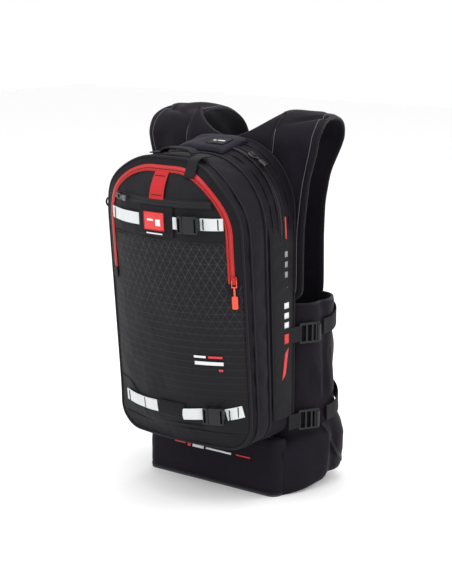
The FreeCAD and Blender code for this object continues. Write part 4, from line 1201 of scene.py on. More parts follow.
    def haul_handle(self, shelf: Shelf) -> None:
        """The haul handle: a low arch of webbing, sewn down at both feet."""
        low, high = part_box("haul_handle")
        y = (low.y + high.y) / 2 / MM
        t = np.linspace(-1, 1, 41)
        reach = (high.x / MM - 2.0)
        x = reach * np.sign(t) * np.abs(t) ** 0.8
        z = low.z / MM + 0.5 + 0.6 * (high.z - low.z) / MM * (1 - np.abs(t) ** 3.2) ** 0.8
        path = xyz(x, 0 * t + y, z)
        out = unit(np.cross(unit(np.gradient(path, axis=0)), np.array([0, -1.0, 0])))
        out = out * np.sign(out[:, 2:3] + 1e-6)
        patches = [strap(path, out, 19.0, 3.0, across=np.array([0, 1.0, 0]))]
        for side in (-1, 1):
            foot = xyz(side * np.linspace(reach - 1, reach + 20, 8), y,
                       low.z / MM + 0.2 - np.linspace(0, 1.6, 8))
            patches.append(strap(foot, np.array([0, 0, 1.0]), 20.0, 2.2, across=np.array([0, 1.0, 0])))
        sew("haul_loop", patches, [shelf.dark_web], "dark_webbing", Body.PACK, "haul_handle")

    def build(self, shelf: Shelf) -> None:
        """Makes the compartments' pieces."""
        self.gusset("front", "middle", "gear_gusset", "gear_shell", shelf.shell, 3)
        self.gusset("middle", "rear", "rear_gusset", "rear_shell", shelf.shell, 8)
        self.pipe("front_piping", "front", "middle", 0.0, 0.6, 2.3, shelf)
        self.pipe("gusset_piping", "front", "middle", 0.30, 0.5, 1.7, shelf)
        self.pipe("middle_piping", "middle", "rear", 0.0, 0.8, 2.1, shelf)
        self.pipe("rear_piping", "middle", "rear", 1.0, 0.5, 2.0, shelf)
        for side in (1, -1):
            self.cover(side, shelf)
        self.lid(shelf)
        self.main_zip(shelf)
        self.floor_and_divider(shelf)
        self.airbags(shelf)
        self.haul_handle(shelf)


# ------------------------------------------------------------------ the opening front
@dataclass
class FrontPanel:
    """The front: lower panel, opening flap, red zip, carrying straps with their sleeves, and marks."""

    tape_rim: float = 11.0
    tape_join: float = 17.0
    flap_rim: float = 19.4
    hem: float = 356.0
    strap_width: float = 18.6
    pocket: float = 478.0
    pocket_half: float = 92.0
    tab_top: float = 521.0
    tab_width: float = 26.0
    tab_bars: tuple[float, float] = (514.0, 488.0)
    tongue_x: float = 52.0
    tongue_width: float = 20.0
    loop_at: tuple[float, float] = (-128.0, 458.0)
    seam_high: float = 421.0
    seam_low: float = 117.0

    def __post_init__(self) -> None:
        """Reads where the two straps cross the front from their buckles."""
        self.rows = []
        for which in ("upper", "lower"):
            low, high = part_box(which + "_buckle_socket")
            v = (low.z + high.z) / 2 / MM / math.cos(form.front_lean) + 2.6
            self.rows.append((which, v))

    def skin(self, low: float, high: float, inset: float, seed: int, fine: int) -> Patch:
        """A stretch of the front's cloth between two heights, reaching to that inset."""
        top = form.front_top - inset
        arc = form.top_radius - inset
        v = np.linspace(low, high, fine)
        if high > top - arc:
            turn = top - arc + arc * np.sin(np.linspace(0, np.pi / 2 * 0.985, 34))
            v = np.concatenate([np.linspace(low, top - arc, fine, endpoint=False), turn])
        else:
            base = form.bottom + inset
            turn = base + (form.bottom_radius) * (1 - np.cos(np.linspace(0.12, np.pi / 2, 12)))
            v = np.concatenate([turn, np.linspace(turn[-1] + 3, high, fine)])
        share = np.linspace(-1, 1, 72)
        x = form.half_at(v, inset)[:, None] * share[None]
        rows = np.broadcast_to(v[:, None], x.shape)
        soft = Ripple(seed, 75, 7)(x, rows) * 1.1 + Ripple(seed + 1, 26, 6)(x, rows) * 0.28
        soft *= 1 - 0.9 * smooth(0.86, 1.0, np.abs(x) / form.half)
        flat = np.stack([x, rows], axis=-1)
        return pad(form.front(x, rows, soft), form.front_out(x, rows), 0.2, 1.6, flat)

    def zip_half(self, first: float, last: float, lift: float, finish: int) -> Patch:
        """One half of the red zip: a tape between two insets, its meeting edge a little raised."""
        inset = np.linspace(first, last, 7)
        xs, vs = zip(*(u_path(value, self.hem) for value in inset))
        x, v = np.stack(xs, axis=1), np.stack(vs, axis=1)
        near = np.abs(inset - self.tape_join)
        rise = lift + 0.9 * np.exp(-(near / 2.2) ** 2)
        points = form.front(x, v, rise[None])
        along = lengths(points[:, 3][None])[0]
        flat = np.stack(np.broadcast_arrays(along[:, None], inset[None]), axis=-1)
        thin = np.array([0.3, 0.6, 0.7, 0.7, 0.7, 0.6, 0.3])[None]
        return pad(points, form.front_out(x, v), thin, thin, flat, finish)

    def ribbon(self, x0: float, x1: float, v0: float, v1: float, lift: float, thickness: float,
               finish: int = 0, hump_size: float = 0.0, count: int = 30) -> Patch:
        """Webbing lying across the front from one place to another, humped up between its two tacks."""
        t = np.linspace(0, 1, count)
        x, v = x0 + (x1 - x0) * t, v0 + (v1 - v0) * t
        rise = lift + hump_size * np.sin(np.pi * t) ** 2
        path = form.front(x, v, rise)
        out = form.front_out(x, v)
        return strap(path, out, self.strap_width, thickness, finish)

    def tack(self, x: float, v: float, lift: float, finish: int = 1) -> Patch:
        """A bar tack across a strap: one thick row of thread."""
        rows = v + np.linspace(-1, 1, 12) * (self.strap_width / 2 - 1.2)
        path = form.front(np.full(12, x), rows, lift)
        return tube(path, form.front_out(np.full(12, x), rows), 0.75, flatten=1.3, finish=finish)

    def panel(self, x0: float, x1: float, v0: float, v1: float, lift: float, thickness: float, finish: int,
              dome: float = 0.0, slant: float = 0.0, power: float = 8.0) -> Patch:
        """A sewn patch lying on the front, whose middle stands up by dome."""
        x, v = np.meshgrid(np.linspace(x0, x1, 26), np.linspace(v0, v1, 18), indexing="ij")
        a, b = np.meshgrid(np.linspace(-1, 1, 26), np.linspace(-1, 1, 18), indexing="ij")
        x = x + slant * b
        edge = blunt(b, power) * blunt(a, 16)
        points = form.front(x, v, lift + dome * edge)
        flat = np.stack([x, v], axis=-1)
        half = thickness * (0.3 + 0.7 * edge)
        return pad(points, form.front_out(x, v), half, half, flat, finish)

    def line(self, xs: list[float], vs: list[float], lift: float, radius: float, finish: int = 0) -> Patch:
        """A seam or cord laid over the front through a few corners."""
        knots = np.linspace(0, 1, len(xs))
        t = np.linspace(0, 1, 24 * (len(xs) - 1) + 1)
        x, v = np.interp(t, knots, xs), np.interp(t, knots, vs)
        return tube(form.front(x, v, lift), form.front_out(x, v), radius, finish=finish, flatten=1.6)

    def build_skins(self, shelf: Shelf) -> None:
        """The cloth itself, below the hem and on the flap, and its seams."""
        sew("front_lower", [self.skin(form.bottom + 1, self.hem, 1.0, 21, 90)], [shelf.front], "front_cloth",
            Body.PACK, "front_panel")
        flap = make("front_flap_cloth", [self.skin(self.hem, form.front_top, self.flap_rim, 21, 40)],
                    [shelf.front])
        start, end = form.front(0, self.hem), form.front(0, self.hem + 22)
        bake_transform(flap)
        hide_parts("front_flap")

        seams = [self.line([-104, -60, 60, 104], [self.seam_high] * 4, 0.5, 0.8),
                 self.line([-104, 104], [self.seam_high - 3.5] * 2, 0.35, 0.35)]
        sew("flap_seams", seams, [shelf.thread], "front_cloth", Body.FLAP)
        lower_seams = [self.line([-126, -60, 60, 126], [self.seam_low] * 4, 0.6, 0.8),
                       self.line([-126, -96, -62], [176, 176, 150], 0.6, 0.8),
                       self.line([62, 96, 126], [150, 176, 176], 0.6, 0.8),
                       self.line([-62, -56, 56, 62], [150, 126, 126, 150], 0.6, 0.8)]
        sew("panel_seams", lower_seams, [shelf.thread], "front_cloth", Body.PACK)

    def build_zip(self, shelf: Shelf) -> None:
        """The red zip round the flap, and the stops at its ends."""
        sew("red_zip_body", [self.zip_half(self.tape_rim, self.tape_join - 0.3, 1.1, 0)], [shelf.red_body],
            "zip_tape", Body.PACK, "zip_tape_body")
        sew("front_rim", [self.zip_half(0.6, self.tape_rim + 0.8, 0.6, 0)], [shelf.plain], "front_cloth",
            Body.PACK)
        sew("red_zip_flap", [self.zip_half(self.tape_join + 0.3, 20.4, 1.1, 0)], [shelf.red_flap], "zip_tape",
            Body.FLAP, "zip_tape_flap")
        garages = [self.panel(side * 115 - 7, side * 115 + 7, self.hem - 14, self.hem + 3, 1.6, 0.9, 0, 0.6)
                   for side in (-1, 1)]
        sew("zip_ends", garages, [shelf.plain], "front_cloth", Body.PACK)

    def build_pocket(self, shelf: Shelf) -> None:
        """The pocket zip across the flap, and the red tab above it."""
        top = self.tab_top
        x = np.linspace(-self.pocket_half, self.pocket_half, 60)
        v = np.full(60, self.pocket)
        tape = strap(form.front(x, v, 0.9), form.front_out(x, v), 9.0, 1.2)
        lips = [self.line([-self.pocket_half - 2, self.pocket_half + 2], [self.pocket + off] * 2, 1.0, 0.9, 1)
                for off in (-5.2, 5.2)]
        sew("pocket_zip", [tape, *lips], [shelf.black_zip, shelf.piping], "zip_tape", Body.FLAP)
        t = np.linspace(0, 1, 26)
        v = top + (self.pocket + 4 - top) * t
        path = form.front(0 * t, v, 1.6 + 0.5 * np.sin(np.pi * t))
        tab = strap(path, form.front_out(0 * t, v), self.tab_width, 1.6, taper=1.0 + 0.08 * t)
        bar_x = np.linspace(-10, 10, 9)
        bars = []
        for height in self.tab_bars:
            bar_v = np.full(9, height)
            bars.append(tube(form.front(bar_x, bar_v, 2.7), form.front_out(bar_x, bar_v), 0.6, finish=1))
        sew("red_tab", [tab, *bars], [shelf.red_web, shelf.thread], "pull_red", Body.FLAP)

    def build_straps(self, shelf: Shelf) -> None:
        """Both carrying straps: pale webbing, its tacks, and the sleeve and stub in the middle."""
        finishes = [shelf.pale_web, shelf.thread, shelf.plain]
        sleeve_finishes = [shelf.plain, shelf.piping, shelf.red_plastic, shelf.white_print, shelf.red_web]
        for which, v in self.rows:
            upper = which == "upper"
            body = Body.FLAP if upper else Body.PACK
            start, outer = (-107.5, 107.5) if upper else (-105.0, 121.0)
            tilt = 0.0 if upper else 6.0
            first, last = (-31.0, 74.5) if upper else (-19.0, 97.0)
            meet = (30.0, 43.5) if upper else (26.0, 65.0)
            left = self.ribbon(start, first, v - tilt * 0.3, v, 1.9, 1.6, hump_size=1.6)
            right = self.ribbon(last, outer, v, v + tilt, 2.2, 1.6, hump_size=1.0)
            stub = self.ribbon(*meet, v - (0.0 if upper else 5.0), v, 3.8, 1.6)
            patches = [left, right, stub, self.tack(start + 9, v - tilt * 0.3, 3.3),
                       self.tack(last + 5, v, 3.6), self.tack(outer - 7, v + tilt * 0.8, 3.3)]
            if not upper:
                patches.append(self.ribbon(-66.0, first, v - 0.5, v, 3.7, 1.6, hump_size=0.8))
                patches.append(self.tack(-50.0, v, 5.1))
            sew(which + "_webbing", patches, finishes, "light_webbing", body, which + "_carry_strap")
            if upper:
                sleeve = [self.panel(-34, 32, v - 23, v + 23, 2.4, 1.5, 0, 1.2, power=6.0),
                          self.line([30, 30], [v - 21, v + 21], 4.2, 1.2, 1),
                          self.line([-32, -32], [v - 21, v + 21], 4.2, 0.8, 1),
                          self.panel(-21, 17, v - 13, v + 14, 5.3, 0.8, 2, 0.3),
                          self.line([-21, 17, 17, -21, -21], [v - 13, v - 13, v + 14, v + 14, v - 13], 6.2,
                                    0.35, 4),
                          self.panel(-18, 13, v - 19.5, v - 17.4, 5.2, 0.35, 3),
                          self.panel(-14, -2, v + 1.0, v + 4.0, 6.6, 0.3, 3),
                          self.panel(2, 11, v - 6.0, v + 4.0, 6.6, 0.3, 3)]
            else:
                sleeve = [self.panel(-21, 29, v - 13, v + 12, 2.9, 1.3, 0, 1.0, 3.0, 6.0),
                          self.line([-20, -20], [v - 12, v + 11], 4.6, 1.0, 1)]
            sew(which + "_sleeve_cloth", sleeve, sleeve_finishes, "sleeve_cloth", body, which + "_sleeve")

    def build_marks(self, shelf: Shelf) -> None:
        """Small plain bars low on the front, right of the middle."""
        marks = [self.panel(52, 71, 240.5, 244, 1.6, 0.25, 0), self.panel(75, 96, 240.5, 244, 1.6, 0.25, 1),
                 self.panel(53, 97, 229.5, 235, 1.6, 0.25, 0), self.panel(90, 96, 220, 223.5, 1.6, 0.25, 1)]
        sew("front_marks", marks, [shelf.white_print, shelf.red_print], "printed_band", Body.PACK)

    def build_trims(self, shelf: Shelf) -> None:
        """The dark tongue over the zip's top, and the elastic loop at the front's left edge."""
        v = np.linspace(form.front_top - 26, form.front_top - 1, 12)
        front = form.front(np.full(12, self.tongue_x), v, 3.2)
        roof = xyz(np.full(8, self.tongue_x), np.linspace(front[-1, 1] + 5, front[-1, 1] + 36, 8),
                   np.full(8, form.front_top + 1.6))
        path = np.concatenate([front, roof])
        for _ in range(3):
            path[1:-1] = (path[:-2] + 2 * path[1:-1] + path[2:]) / 4
        across = np.tile([1.0, 0.0, 0.0], (len(path), 1))
        out = unit(np.cross(across, unit(np.gradient(path, axis=0))))
        out = out * np.sign(out[:, 2:3] - out[:, 1:2])
        tongue = strap(path, out, self.tongue_width, 2.2, across=across)
        sew("zip_tongue", [tongue], [shelf.dark_web], "dark_webbing", Body.PACK)
        a = np.linspace(-0.35, math.pi + 0.35, 26)
        base = form.front(*self.loop_at)
        loop = xyz(base[0] - 1 - 9 * np.sin(a), base[1] + 4 + 0 * a, base[2] + 7.5 * np.cos(a))
        sew("elastic_loop", [tube(loop, np.array([0, -1.0, 0]), 1.5)], [shelf.thread], "dark_webbing",
            Body.PACK)

    def build(self, shelf: Shelf) -> None:
        """Makes the front's pieces."""
        self.build_skins(shelf)
        self.build_zip(shelf)
        self.build_pocket(shelf)
        self.build_straps(shelf)
        self.build_marks(shelf)
        self.build_trims(shelf)


# ------------------------------------------------------------------ the vest
def vest_half(side: int) -> tuple[str, Body]:
    """The word and the body of one half of the vest, 1 being the wearer's right."""
    return ("right", Body.RIGHT) if side > 0 else ("left", Body.LEFT)


@dataclass
class Vest:
    """The wearer's vest: back, shoulders with their chest panels, side wraps, pads, straps and bindings."""

    thickness: float = 8.0
    back_y: float = -21.0
    chest_y: float = 100.0
    corner: float = 46.0
    side_x: float = 146.0
    shoulder_z: float = 548.0
    shoulder_rise: float = 51.0
    armhole: float = 300.0
    hem_rise: float = 20.0
    skirt_side: float = 132.5
    strap_width: float = 25.0

    def arch(self, q: Array) -> tuple[Array, Array]:
        """The shoulder's middle line, in side view.

        Args:
            q: 0 to 1 up the back, 1 to 2 over the shoulder, 2 to 3 down the chest.
        Returns:
            The (y, z) points and their outward directions.
        """
        half = self.thickness / 2
        back, chest = self.back_y + half, self.chest_y - half
        angle = np.pi * (1 - np.clip(q - 1, 0, 1))
        y = (back + chest) / 2 + (chest - back) / 2 * np.cos(angle)
        z = self.shoulder_z + self.shoulder_rise * np.maximum(np.sin(angle), 0.0) ** 0.88
        z = np.where(q < 1, self.armhole + 4 + (self.shoulder_z - self.armhole - 4) * q, z)
        z = np.where(q > 2, self.shoulder_z - (self.shoulder_z - 118) * (q - 2), z)
        return np.stack([y, z], axis=-1), np.stack([np.cos(angle), np.sin(angle)], axis=-1)

    def harness(self, side: int, shelf: Shelf) -> None:
        """One shoulder with its chest panel: a long pad from behind the pack, over and down the front."""
        word, body = vest_half(side)
        q = np.concatenate([np.linspace(0, 1, 60, endpoint=False), np.linspace(1, 2, 84, endpoint=False),
                            np.linspace(2, 3, 90)])
        inner = np.interp(q, [0, 0.5, 0.8, 1, 1.25, 1.5, 1.75, 2, 2.136, 3],
                          [60, 63, 70, 80, 77, 69, 58, 48, 38, 37])
        outer = np.interp(q, [0, 0.04, 0.484, 0.8, 1, 1.2, 1.5, 1.8, 2, 2.113, 2.23, 2.35, 2.56, 2.6, 3],
                          [104, 142, 143, 152, 166, 167, 157, 148, 139, 115, 105, 103, 104, 100, 100])
        inner, outer = eased(inner, 8), eased(outer, 4)
        line, out2 = self.arch(q)
        c = np.linspace(-1, 1, 46)[None]
        middle_x, half = (inner + outer)[:, None] / 2, (outer - inner)[:, None] / 2
        x = side * (middle_x + half * c)
        over = hump(1.5, 0.42, q)[:, None]
        crown = -3.0 * over * c ** 4 - 4.0 * over
        crease = Ripple(40 + side, 70, 8, 0.8)(q[:, None] * 190, half * c) * (1.0 + 1.8 * over)
        tuck = -5.0 * np.exp(-((q[:, None] - 1.28 - 0.12 * c) / 0.035) ** 2) * smooth(-0.9, 0.5, c)
        tuck += -3.0 * np.exp(-((q[:, None] - 1.72 + 0.2 * c) / 0.05) ** 2) * smooth(0.2, 1.0, c)
        drape = 2.2 * np.sin(c * 5.5 + q[:, None] * 9) * hump(0.86, 0.16, q)[:, None]
        edge = blunt(c, 10)
        lift = (crown + (crease + tuck + drape) * edge)
        lift = np.where(q[:, None] > 2.02, np.minimum(lift, 0.0) - 0.6, lift)
        lift *= smooth(0.0, 0.3, q)[:, None]
        points = xyz(x, line[:, 0:1], line[:, 1:2])
        out = xyz(0 * x, out2[:, 0:1], out2[:, 1:2])
        points = points + out * lift[..., None]
        seam = 0.7 * (np.exp(-((np.abs(c) - 0.80) / 0.03) ** 2))
        front = 0.6 + (self.thickness / 2 - 0.6) * edge - seam
        back = 0.6 + (self.thickness / 2 - 0.6) * edge
        along = np.concatenate([[0], np.cumsum(np.linalg.norm(np.diff(line, axis=0), axis=1))])
        flat = np.stack(np.broadcast_arrays(middle_x + half * c, along[:, None]), axis=-1)
        patches = [pad(points, out, front, back, flat)]
        rims = []
        for column in (0, -1):
            rims.append(tube(points[:, column], out[:, column], 2.3, finish=1))
        near = np.argmin(np.abs(c[0] - 0.80)), np.argmin(np.abs(c[0] + 0.80))
        for column in near:
            stitched = points[:, column] + out[:, column] * (front[:, column] + 0.15)[:, None]
            rims.append(tube(stitched, out[:, column], 0.45, finish=2))
        made = make("harness_pad_" + word, patches + rims, [shelf.vest, shelf.piping, shelf.pale_thread])
        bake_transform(made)
        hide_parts("harness_" + word)

    def flare(self, z: Array) -> Array:
        """How far the wrap stands out from the flank: most at the hips, pulled in at the hem."""
        return np.interp(z, [0, 36, 73, 96, 112, 140, 320], [13.0, 17.0, 18.0, 13.5, 8.0, 1.5, 0.0])

    def plan(self, offset: Array, share: Array, start: Array, end: Array) -> tuple[Array, Array, Array]:
        """The vest's line in plan: back, rear corner, flank, front corner and chest.

        Args:
            offset: how far outside the line each point lies.
            share: 0 at the start to 5 at the end, one whole number for each run.
            start: x of the start, on the back.
            end: x of the end, on the chest.
        Returns:
            x, y, and the outward angle.
        """
        cx = self.side_x - self.corner
        rear_y, front_y = self.back_y + self.corner, self.chest_y - self.corner
        r = self.corner + offset
        angle = np.interp(share, [0, 1, 2, 3, 4, 5], np.radians([-90, -90, 0, 0, 90, 90]))
        centre_y = rear_y + (front_y - rear_y) * np.clip(share - 2, 0, 1)
        x = cx + r * np.cos(angle)
        y = centre_y + r * np.sin(angle)
        x = np.where(share < 1, start + (cx - start) * share, x)
        x = np.where(share > 4, cx + (end - cx) * (share - 4), x)
        return x, y, angle

    def wrap(self, side: int, shelf: Shelf) -> None:
        """One side wrap: a pad from the back round the flank to the chest, flaring over the hip."""
        word, body = vest_half(side)
        z = np.concatenate([[0.6, 2.0], np.linspace(5, 294, 108), [297, 299.5, 300]])[None]
        share = np.concatenate([np.linspace(0, 1, 26, endpoint=False), np.linspace(1, 2, 30, endpoint=False),
                                np.linspace(2, 3, 14, endpoint=False), np.linspace(3, 4, 40, endpoint=False),
                                np.linspace(4, 5, 24)])[:, None]
        start = 1.5 + 92.0 * smooth(80, 88, z)
        end = 57.0 + 36.0 * smooth(108, 116, z)
        across = share * 46
        ripple = Ripple(60 + side, 60, 8, 1.3)
        fold = 2.0 * ripple(across, z) * smooth(0.7, 1.3, share) * (1 - 0.6 * smooth(4.2, 4.8, share))
        between = hump(188, 40, z)
        sway = np.sin(share * 7.5 + 0.02 * z + 0.8)
        fold = fold + 2.6 * sway * between * smooth(1.2, 1.9, share) * (1 - smooth(3.6, 4.4, share))
        pull = -2.6 * (hump(self.lock_height("upper"), 15, z) + 0.7 * hump(self.lock_height("lower"), 14, z))
        fold = fold + pull * smooth(2.2, 2.8, share)
        hem_fold = 2.4 * np.sin(share * 6.2 + 1.0) * hump(50, 34, z) * smooth(1.0, 1.8, share)
        clear = 1 - hump(1.68, 0.24, share) * np.maximum(hump(257, 26, z), hump(116, 26, z))
        held = 1 - hump(1.6, 0.5, share) * smooth(80, 96, z)
        folds = np.minimum(fold, 1.6) * clear + hem_fold * clear
        offset = self.flare(z) * held + folds * smooth(0.5, 1.1, share) - 0.4
        rows = z + self.hem_rise * smooth(1.2, 2.6, share) * (1 - np.clip(z / 108, 0, 1))
        x, y, angle = self.plan(offset, share + 0 * z, start + 0 * share, end + 0 * share)
        low_share = smooth(88, 68, z) * smooth(0.55, 1.0, share) * smooth(2.05, 1.6, share)
        far_x = self.side_x + self.flare(z)
        bent = np.clip((share - 1.22) / 0.78, 0, 1)
        corner_x = np.where(share < 1.22, np.interp(share, [0.55, 1.0, 1.22], [60, 116, self.skirt_side]),
                            self.skirt_side + (far_x - self.skirt_side) * bent + 5.0 * np.sin(np.pi * bent))
        corner_y = np.interp(share, [0.55, 1.0, 1.22, 2.0], [-21, -31, -54, 25])
        corner_turn = np.radians(np.interp(share, [0.55, 1.0, 1.22, 1.3, 2.0], [-90, -90, -58, -26, 0]))
        x = x + (corner_x - x) * low_share
        y = y + (corner_y - y) * low_share
        angle = angle + (corner_turn - angle) * low_share
        points = xyz(side * x, y, rows)
        out = xyz(side * np.cos(angle), np.sin(angle), 0 * rows)
        edge = blunt((z + 0 * share) / 150 - 1, 40) * blunt(share / 2.5 - 1, 60)
        seam = 0.9 * np.exp(-((z - 112 - 6 * np.sin(share)) / 2.0) ** 2)
        middle = points - out * (self.thickness / 2)
        front = 0.5 + (self.thickness / 2 - 0.5) * edge - seam
        back = 0.5 + (self.thickness / 2 - 0.6) * edge
        along = lengths(points.transpose(1, 0, 2))[60]
        flat = np.stack(np.broadcast_arrays(along[:, None], rows), axis=-1)
        patches = [pad(middle, out, front, back, flat)]
        top = middle[:, -1]
        patches.append(tube(top + [0, 0, 0.4], out[:, -1], 2.4, finish=1))
        patches.append(tube(middle[:, 0] + [0, 0, 1.6], out[:, 0], 2.2, finish=1))
        down = np.linspace(0, 1, 60)
        row_z = 104 - 92 * down
        row_s = 2.05 + 1.25 * down
        ci = np.clip(np.searchsorted(z[0], row_z), 0, z.shape[1] - 1)
        ri = np.clip(np.searchsorted(share[:, 0], row_s), 0, len(share) - 1)
        path = middle[ri, ci] + out[ri, ci] * (self.thickness / 2 + 0.5)
        for _ in range(6):
            path[1:-1] = (path[:-2] + 2 * path[1:-1] + path[2:]) / 4
        patches.append(strap(path, out[ri, ci], 7.0, 1.4, finish=1))
        made = make("side_wrap_" + word, patches, [shelf.vest, shelf.piping])
        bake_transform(made)
        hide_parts("flank_front_" + word, "hip_front_" + word)

    def lock_height(self, which: str) -> float:
        """Height of the upper or the lower ladder locks."""
        low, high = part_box(which + "_ladder_lock_right")
        return (low.z + high.z) / 2 / MM

    def back(self, shelf: Shelf) -> None:
        """The vest's back: a flat pad behind the pack, up to the collar."""
        z = np.concatenate([[89, 89.6, 91], np.linspace(94, 560, 120), [563, 565, 566]])[:, None]
        half = np.interp(z[:, 0], [89, 296, 318, 500, 540, 556, 566], [99, 99, 66, 74, 84, 86, 86])
        half = eased(half, 3)[:, None]
        c = np.linspace(-1, 1, 70)[None]
        x = half * c
        edge = blunt(c, 30) * blunt((z - 327.5) / 238.5, 60)
        wing = smooth(470, 566, z) * (38.0 * (np.abs(x) / 80.0) ** 1.6 - 12.0)
        over = np.clip(z + wing - self.shoulder_z, 0, self.shoulder_rise * 0.9)
        reach = (self.chest_y - self.back_y - self.thickness) / 2
        ahead = reach * (1 - np.sqrt(1 - (over / self.shoulder_rise) ** 2))
        middle = xyz(x, ahead + self.back_y + 4, z + wing)
        out = facing(middle)
        out = out * np.sign(out[..., 1:2])
        wave = Ripple(90, 80, 6)(x, z) * 0.4 * edge
        flat = np.stack([x, z + 0 * x], axis=-1)
        patches = [pad(middle, out, 0.5 + 3.4 * edge + wave, 0.5 + 3.4 * edge, flat)]
        collar = np.concatenate([middle[-24:, 0], middle[-1, 1:-1], middle[-24:, -1][::-1]])
        patches.append(tube(collar, out[0, 0], 2.8, finish=1))
        made = sew("vest_back_cloth", patches, [shelf.vest, shelf.piping], "body_cloth", Body.PACK,
                   "vest_back", "flanks_back", "hip_pad_back")

    def spine_pad(self, shelf: Shelf) -> None:
        """The back pad: ribbed foam under spacer mesh, with a channel up its middle and four across."""
        low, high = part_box("back_pad")
        half, z0, z1 = high.x / MM, low.z / MM, high.z / MM
        z = z0 + (z1 - z0) * (1 - np.cos(np.linspace(0, np.pi, 200))) / 2
        radius = 40.0
        near = np.clip(radius - np.minimum(z - z0, z1 - z), 0, radius)
        width = (half - radius + np.sqrt(np.maximum(radius ** 2 - near ** 2, 4.0)))[:, None]
        c = np.linspace(-1, 1, 110)[None]
        x = width * c
        edge_in = np.minimum(half, width) * (1 - np.abs(c))
        to_end = np.minimum(z - z0, z1 - z)[:, None]
        rim = 1 - np.exp(-np.minimum(edge_in, to_end + 1.0) / 5.0)
        channel = hump(0, 9, x)
        step = (z1 - z0) / 5
        across = np.exp(-(((z[:, None] - z0) % step - step / 2) / 4.5) ** 2)
        across = across * smooth(0.0, 30.0, to_end)
        lateral = hump(58, 5, np.abs(x)) * 0.6
        cut = np.clip(np.maximum(np.maximum(channel, across * 0.8), lateral), 0, 1)
        depth = (high.y - low.y) / MM
        face = 1.0 + (depth - 1.2) * rim * (1 - 0.62 * cut)
        middle = xyz(x, 0 * x + low.y / MM + 0.6, z[:, None] + 0 * x)
        out = xyz(0 * x, 0 * x + 1, 0 * x)
        flat = np.stack([x, z[:, None] + 0 * x], axis=-1)
        patches = [pad(middle, out, face - 0.6, 0.4, flat)]
        made = sew("spine_pad", patches, [shelf.mesh], "pad_mesh", Body.PACK, "back_pad")

    def webbing(self, side: int, shelf: Shelf) -> None:
        """The two flank straps of one side, and their anchors behind the ladder locks."""
        word, body = vest_half(side)
        straps, anchors = [], []
        cx = self.side_x - self.corner
        for which, rise in (("upper", 25.0), ("lower", 36.0)):
            z = self.lock_height(which)
            t = np.linspace(0, 1, 90)
            share = np.interp(t, [0, 0.12, 0.82, 1.0], [2.35, 3.0, 4.0, 4.32])
            height = z + 4 + (rise - 4) * smooth(0.0, 0.85, t)
            lift = self.flare(np.minimum(height, 300) - 8) * (height < 175) + 1.6 + 1.0 * np.sin(t * np.pi)
            x, y, angle = self.plan(lift, share, 0 * t, 0 * t + cx - 85)
            path = xyz(side * x, y, height)
            out = xyz(side * np.cos(angle), np.sin(angle), 0 * t)
            straps.append(strap(path, out, self.strap_width, 1.8))
            for at in (80, 84):
                rows = np.linspace(-1, 1, 12)[:, None] * (self.strap_width / 2 - 1.5) * np.array([[0, 0,
                                                                                                   1.0]])
                straps.append(tube(path[at][None] + rows + out[at][None] * 1.0, out[at], 0.8, finish=1))
            low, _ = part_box(which + "_ladder_lock_right")
            a0 = np.array([form.half + 3.0, form.rear_y - 15.0])
            a1 = np.array([low.x / MM + 4.5, low.y / MM + 4.0])
            line = a0[None] + (a1 - a0)[None] * np.linspace(0, 1, 16)[:, None]
            way = unit((a1 - a0)[None])[0]
            path = xyz(side * line[:, 0], line[:, 1], np.full(16, z))
            out = np.array([side * way[1], -way[0], 0.0])
            anchors.append(strap(path, out, self.strap_width, 1.7, across=np.array([0, 0, 1.0])))
        made = sew("flank_webbing_" + word, straps, [shelf.dark_web, shelf.thread], "dark_webbing", body,
                   "flank_straps_" + word)
        made = sew("lock_anchors_" + word, anchors, [shelf.dark_web], "dark_webbing", Body.PACK)
        if side > 0:
            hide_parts("flank_anchors")

    def closures(self, side: int, shelf: Shelf) -> None:
        """The chest and hip webbing of one side, up to its buckle halves."""
        word, body = vest_half(side)
        patches = []
        for name, width in (("chest_upper", 20.0), ("chest_lower", 20.0), ("hip", 30.0)):
            low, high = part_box(name + "_prongs")
            z = (low.z + high.z) / 2 / MM
            y = low.y / MM + 0.9
            inner = high.x / MM + 0.5 if side > 0 else 31.4
            reach = 77.0 if name == "hip" else 65.0
            x = np.linspace(inner, reach, 26)
            path = xyz(side * x, 0 * x + y + 1.2 * np.sin(np.pi * np.linspace(0, 1, 26)), 0 * x + z)
            patches.append(strap(path, np.array([0, 1.0, 0]), width, 1.7, across=np.array([0, 0, 1.0])))
            for at in (reach - 4, reach - 14):
                rows = z + np.linspace(-1, 1, 12) * (width / 2 - 1.5)
                patches.append(tube(xyz(side * at + 0 * rows, y + 1.5 + 0 * rows, rows),
                                    np.array([0, 1.0, 0]), 0.7,
                                    finish=1))
        sew("closure_webbing_" + word, patches, [shelf.dark_web, shelf.thread], "dark_webbing", body,
            "closure_straps_" + word)

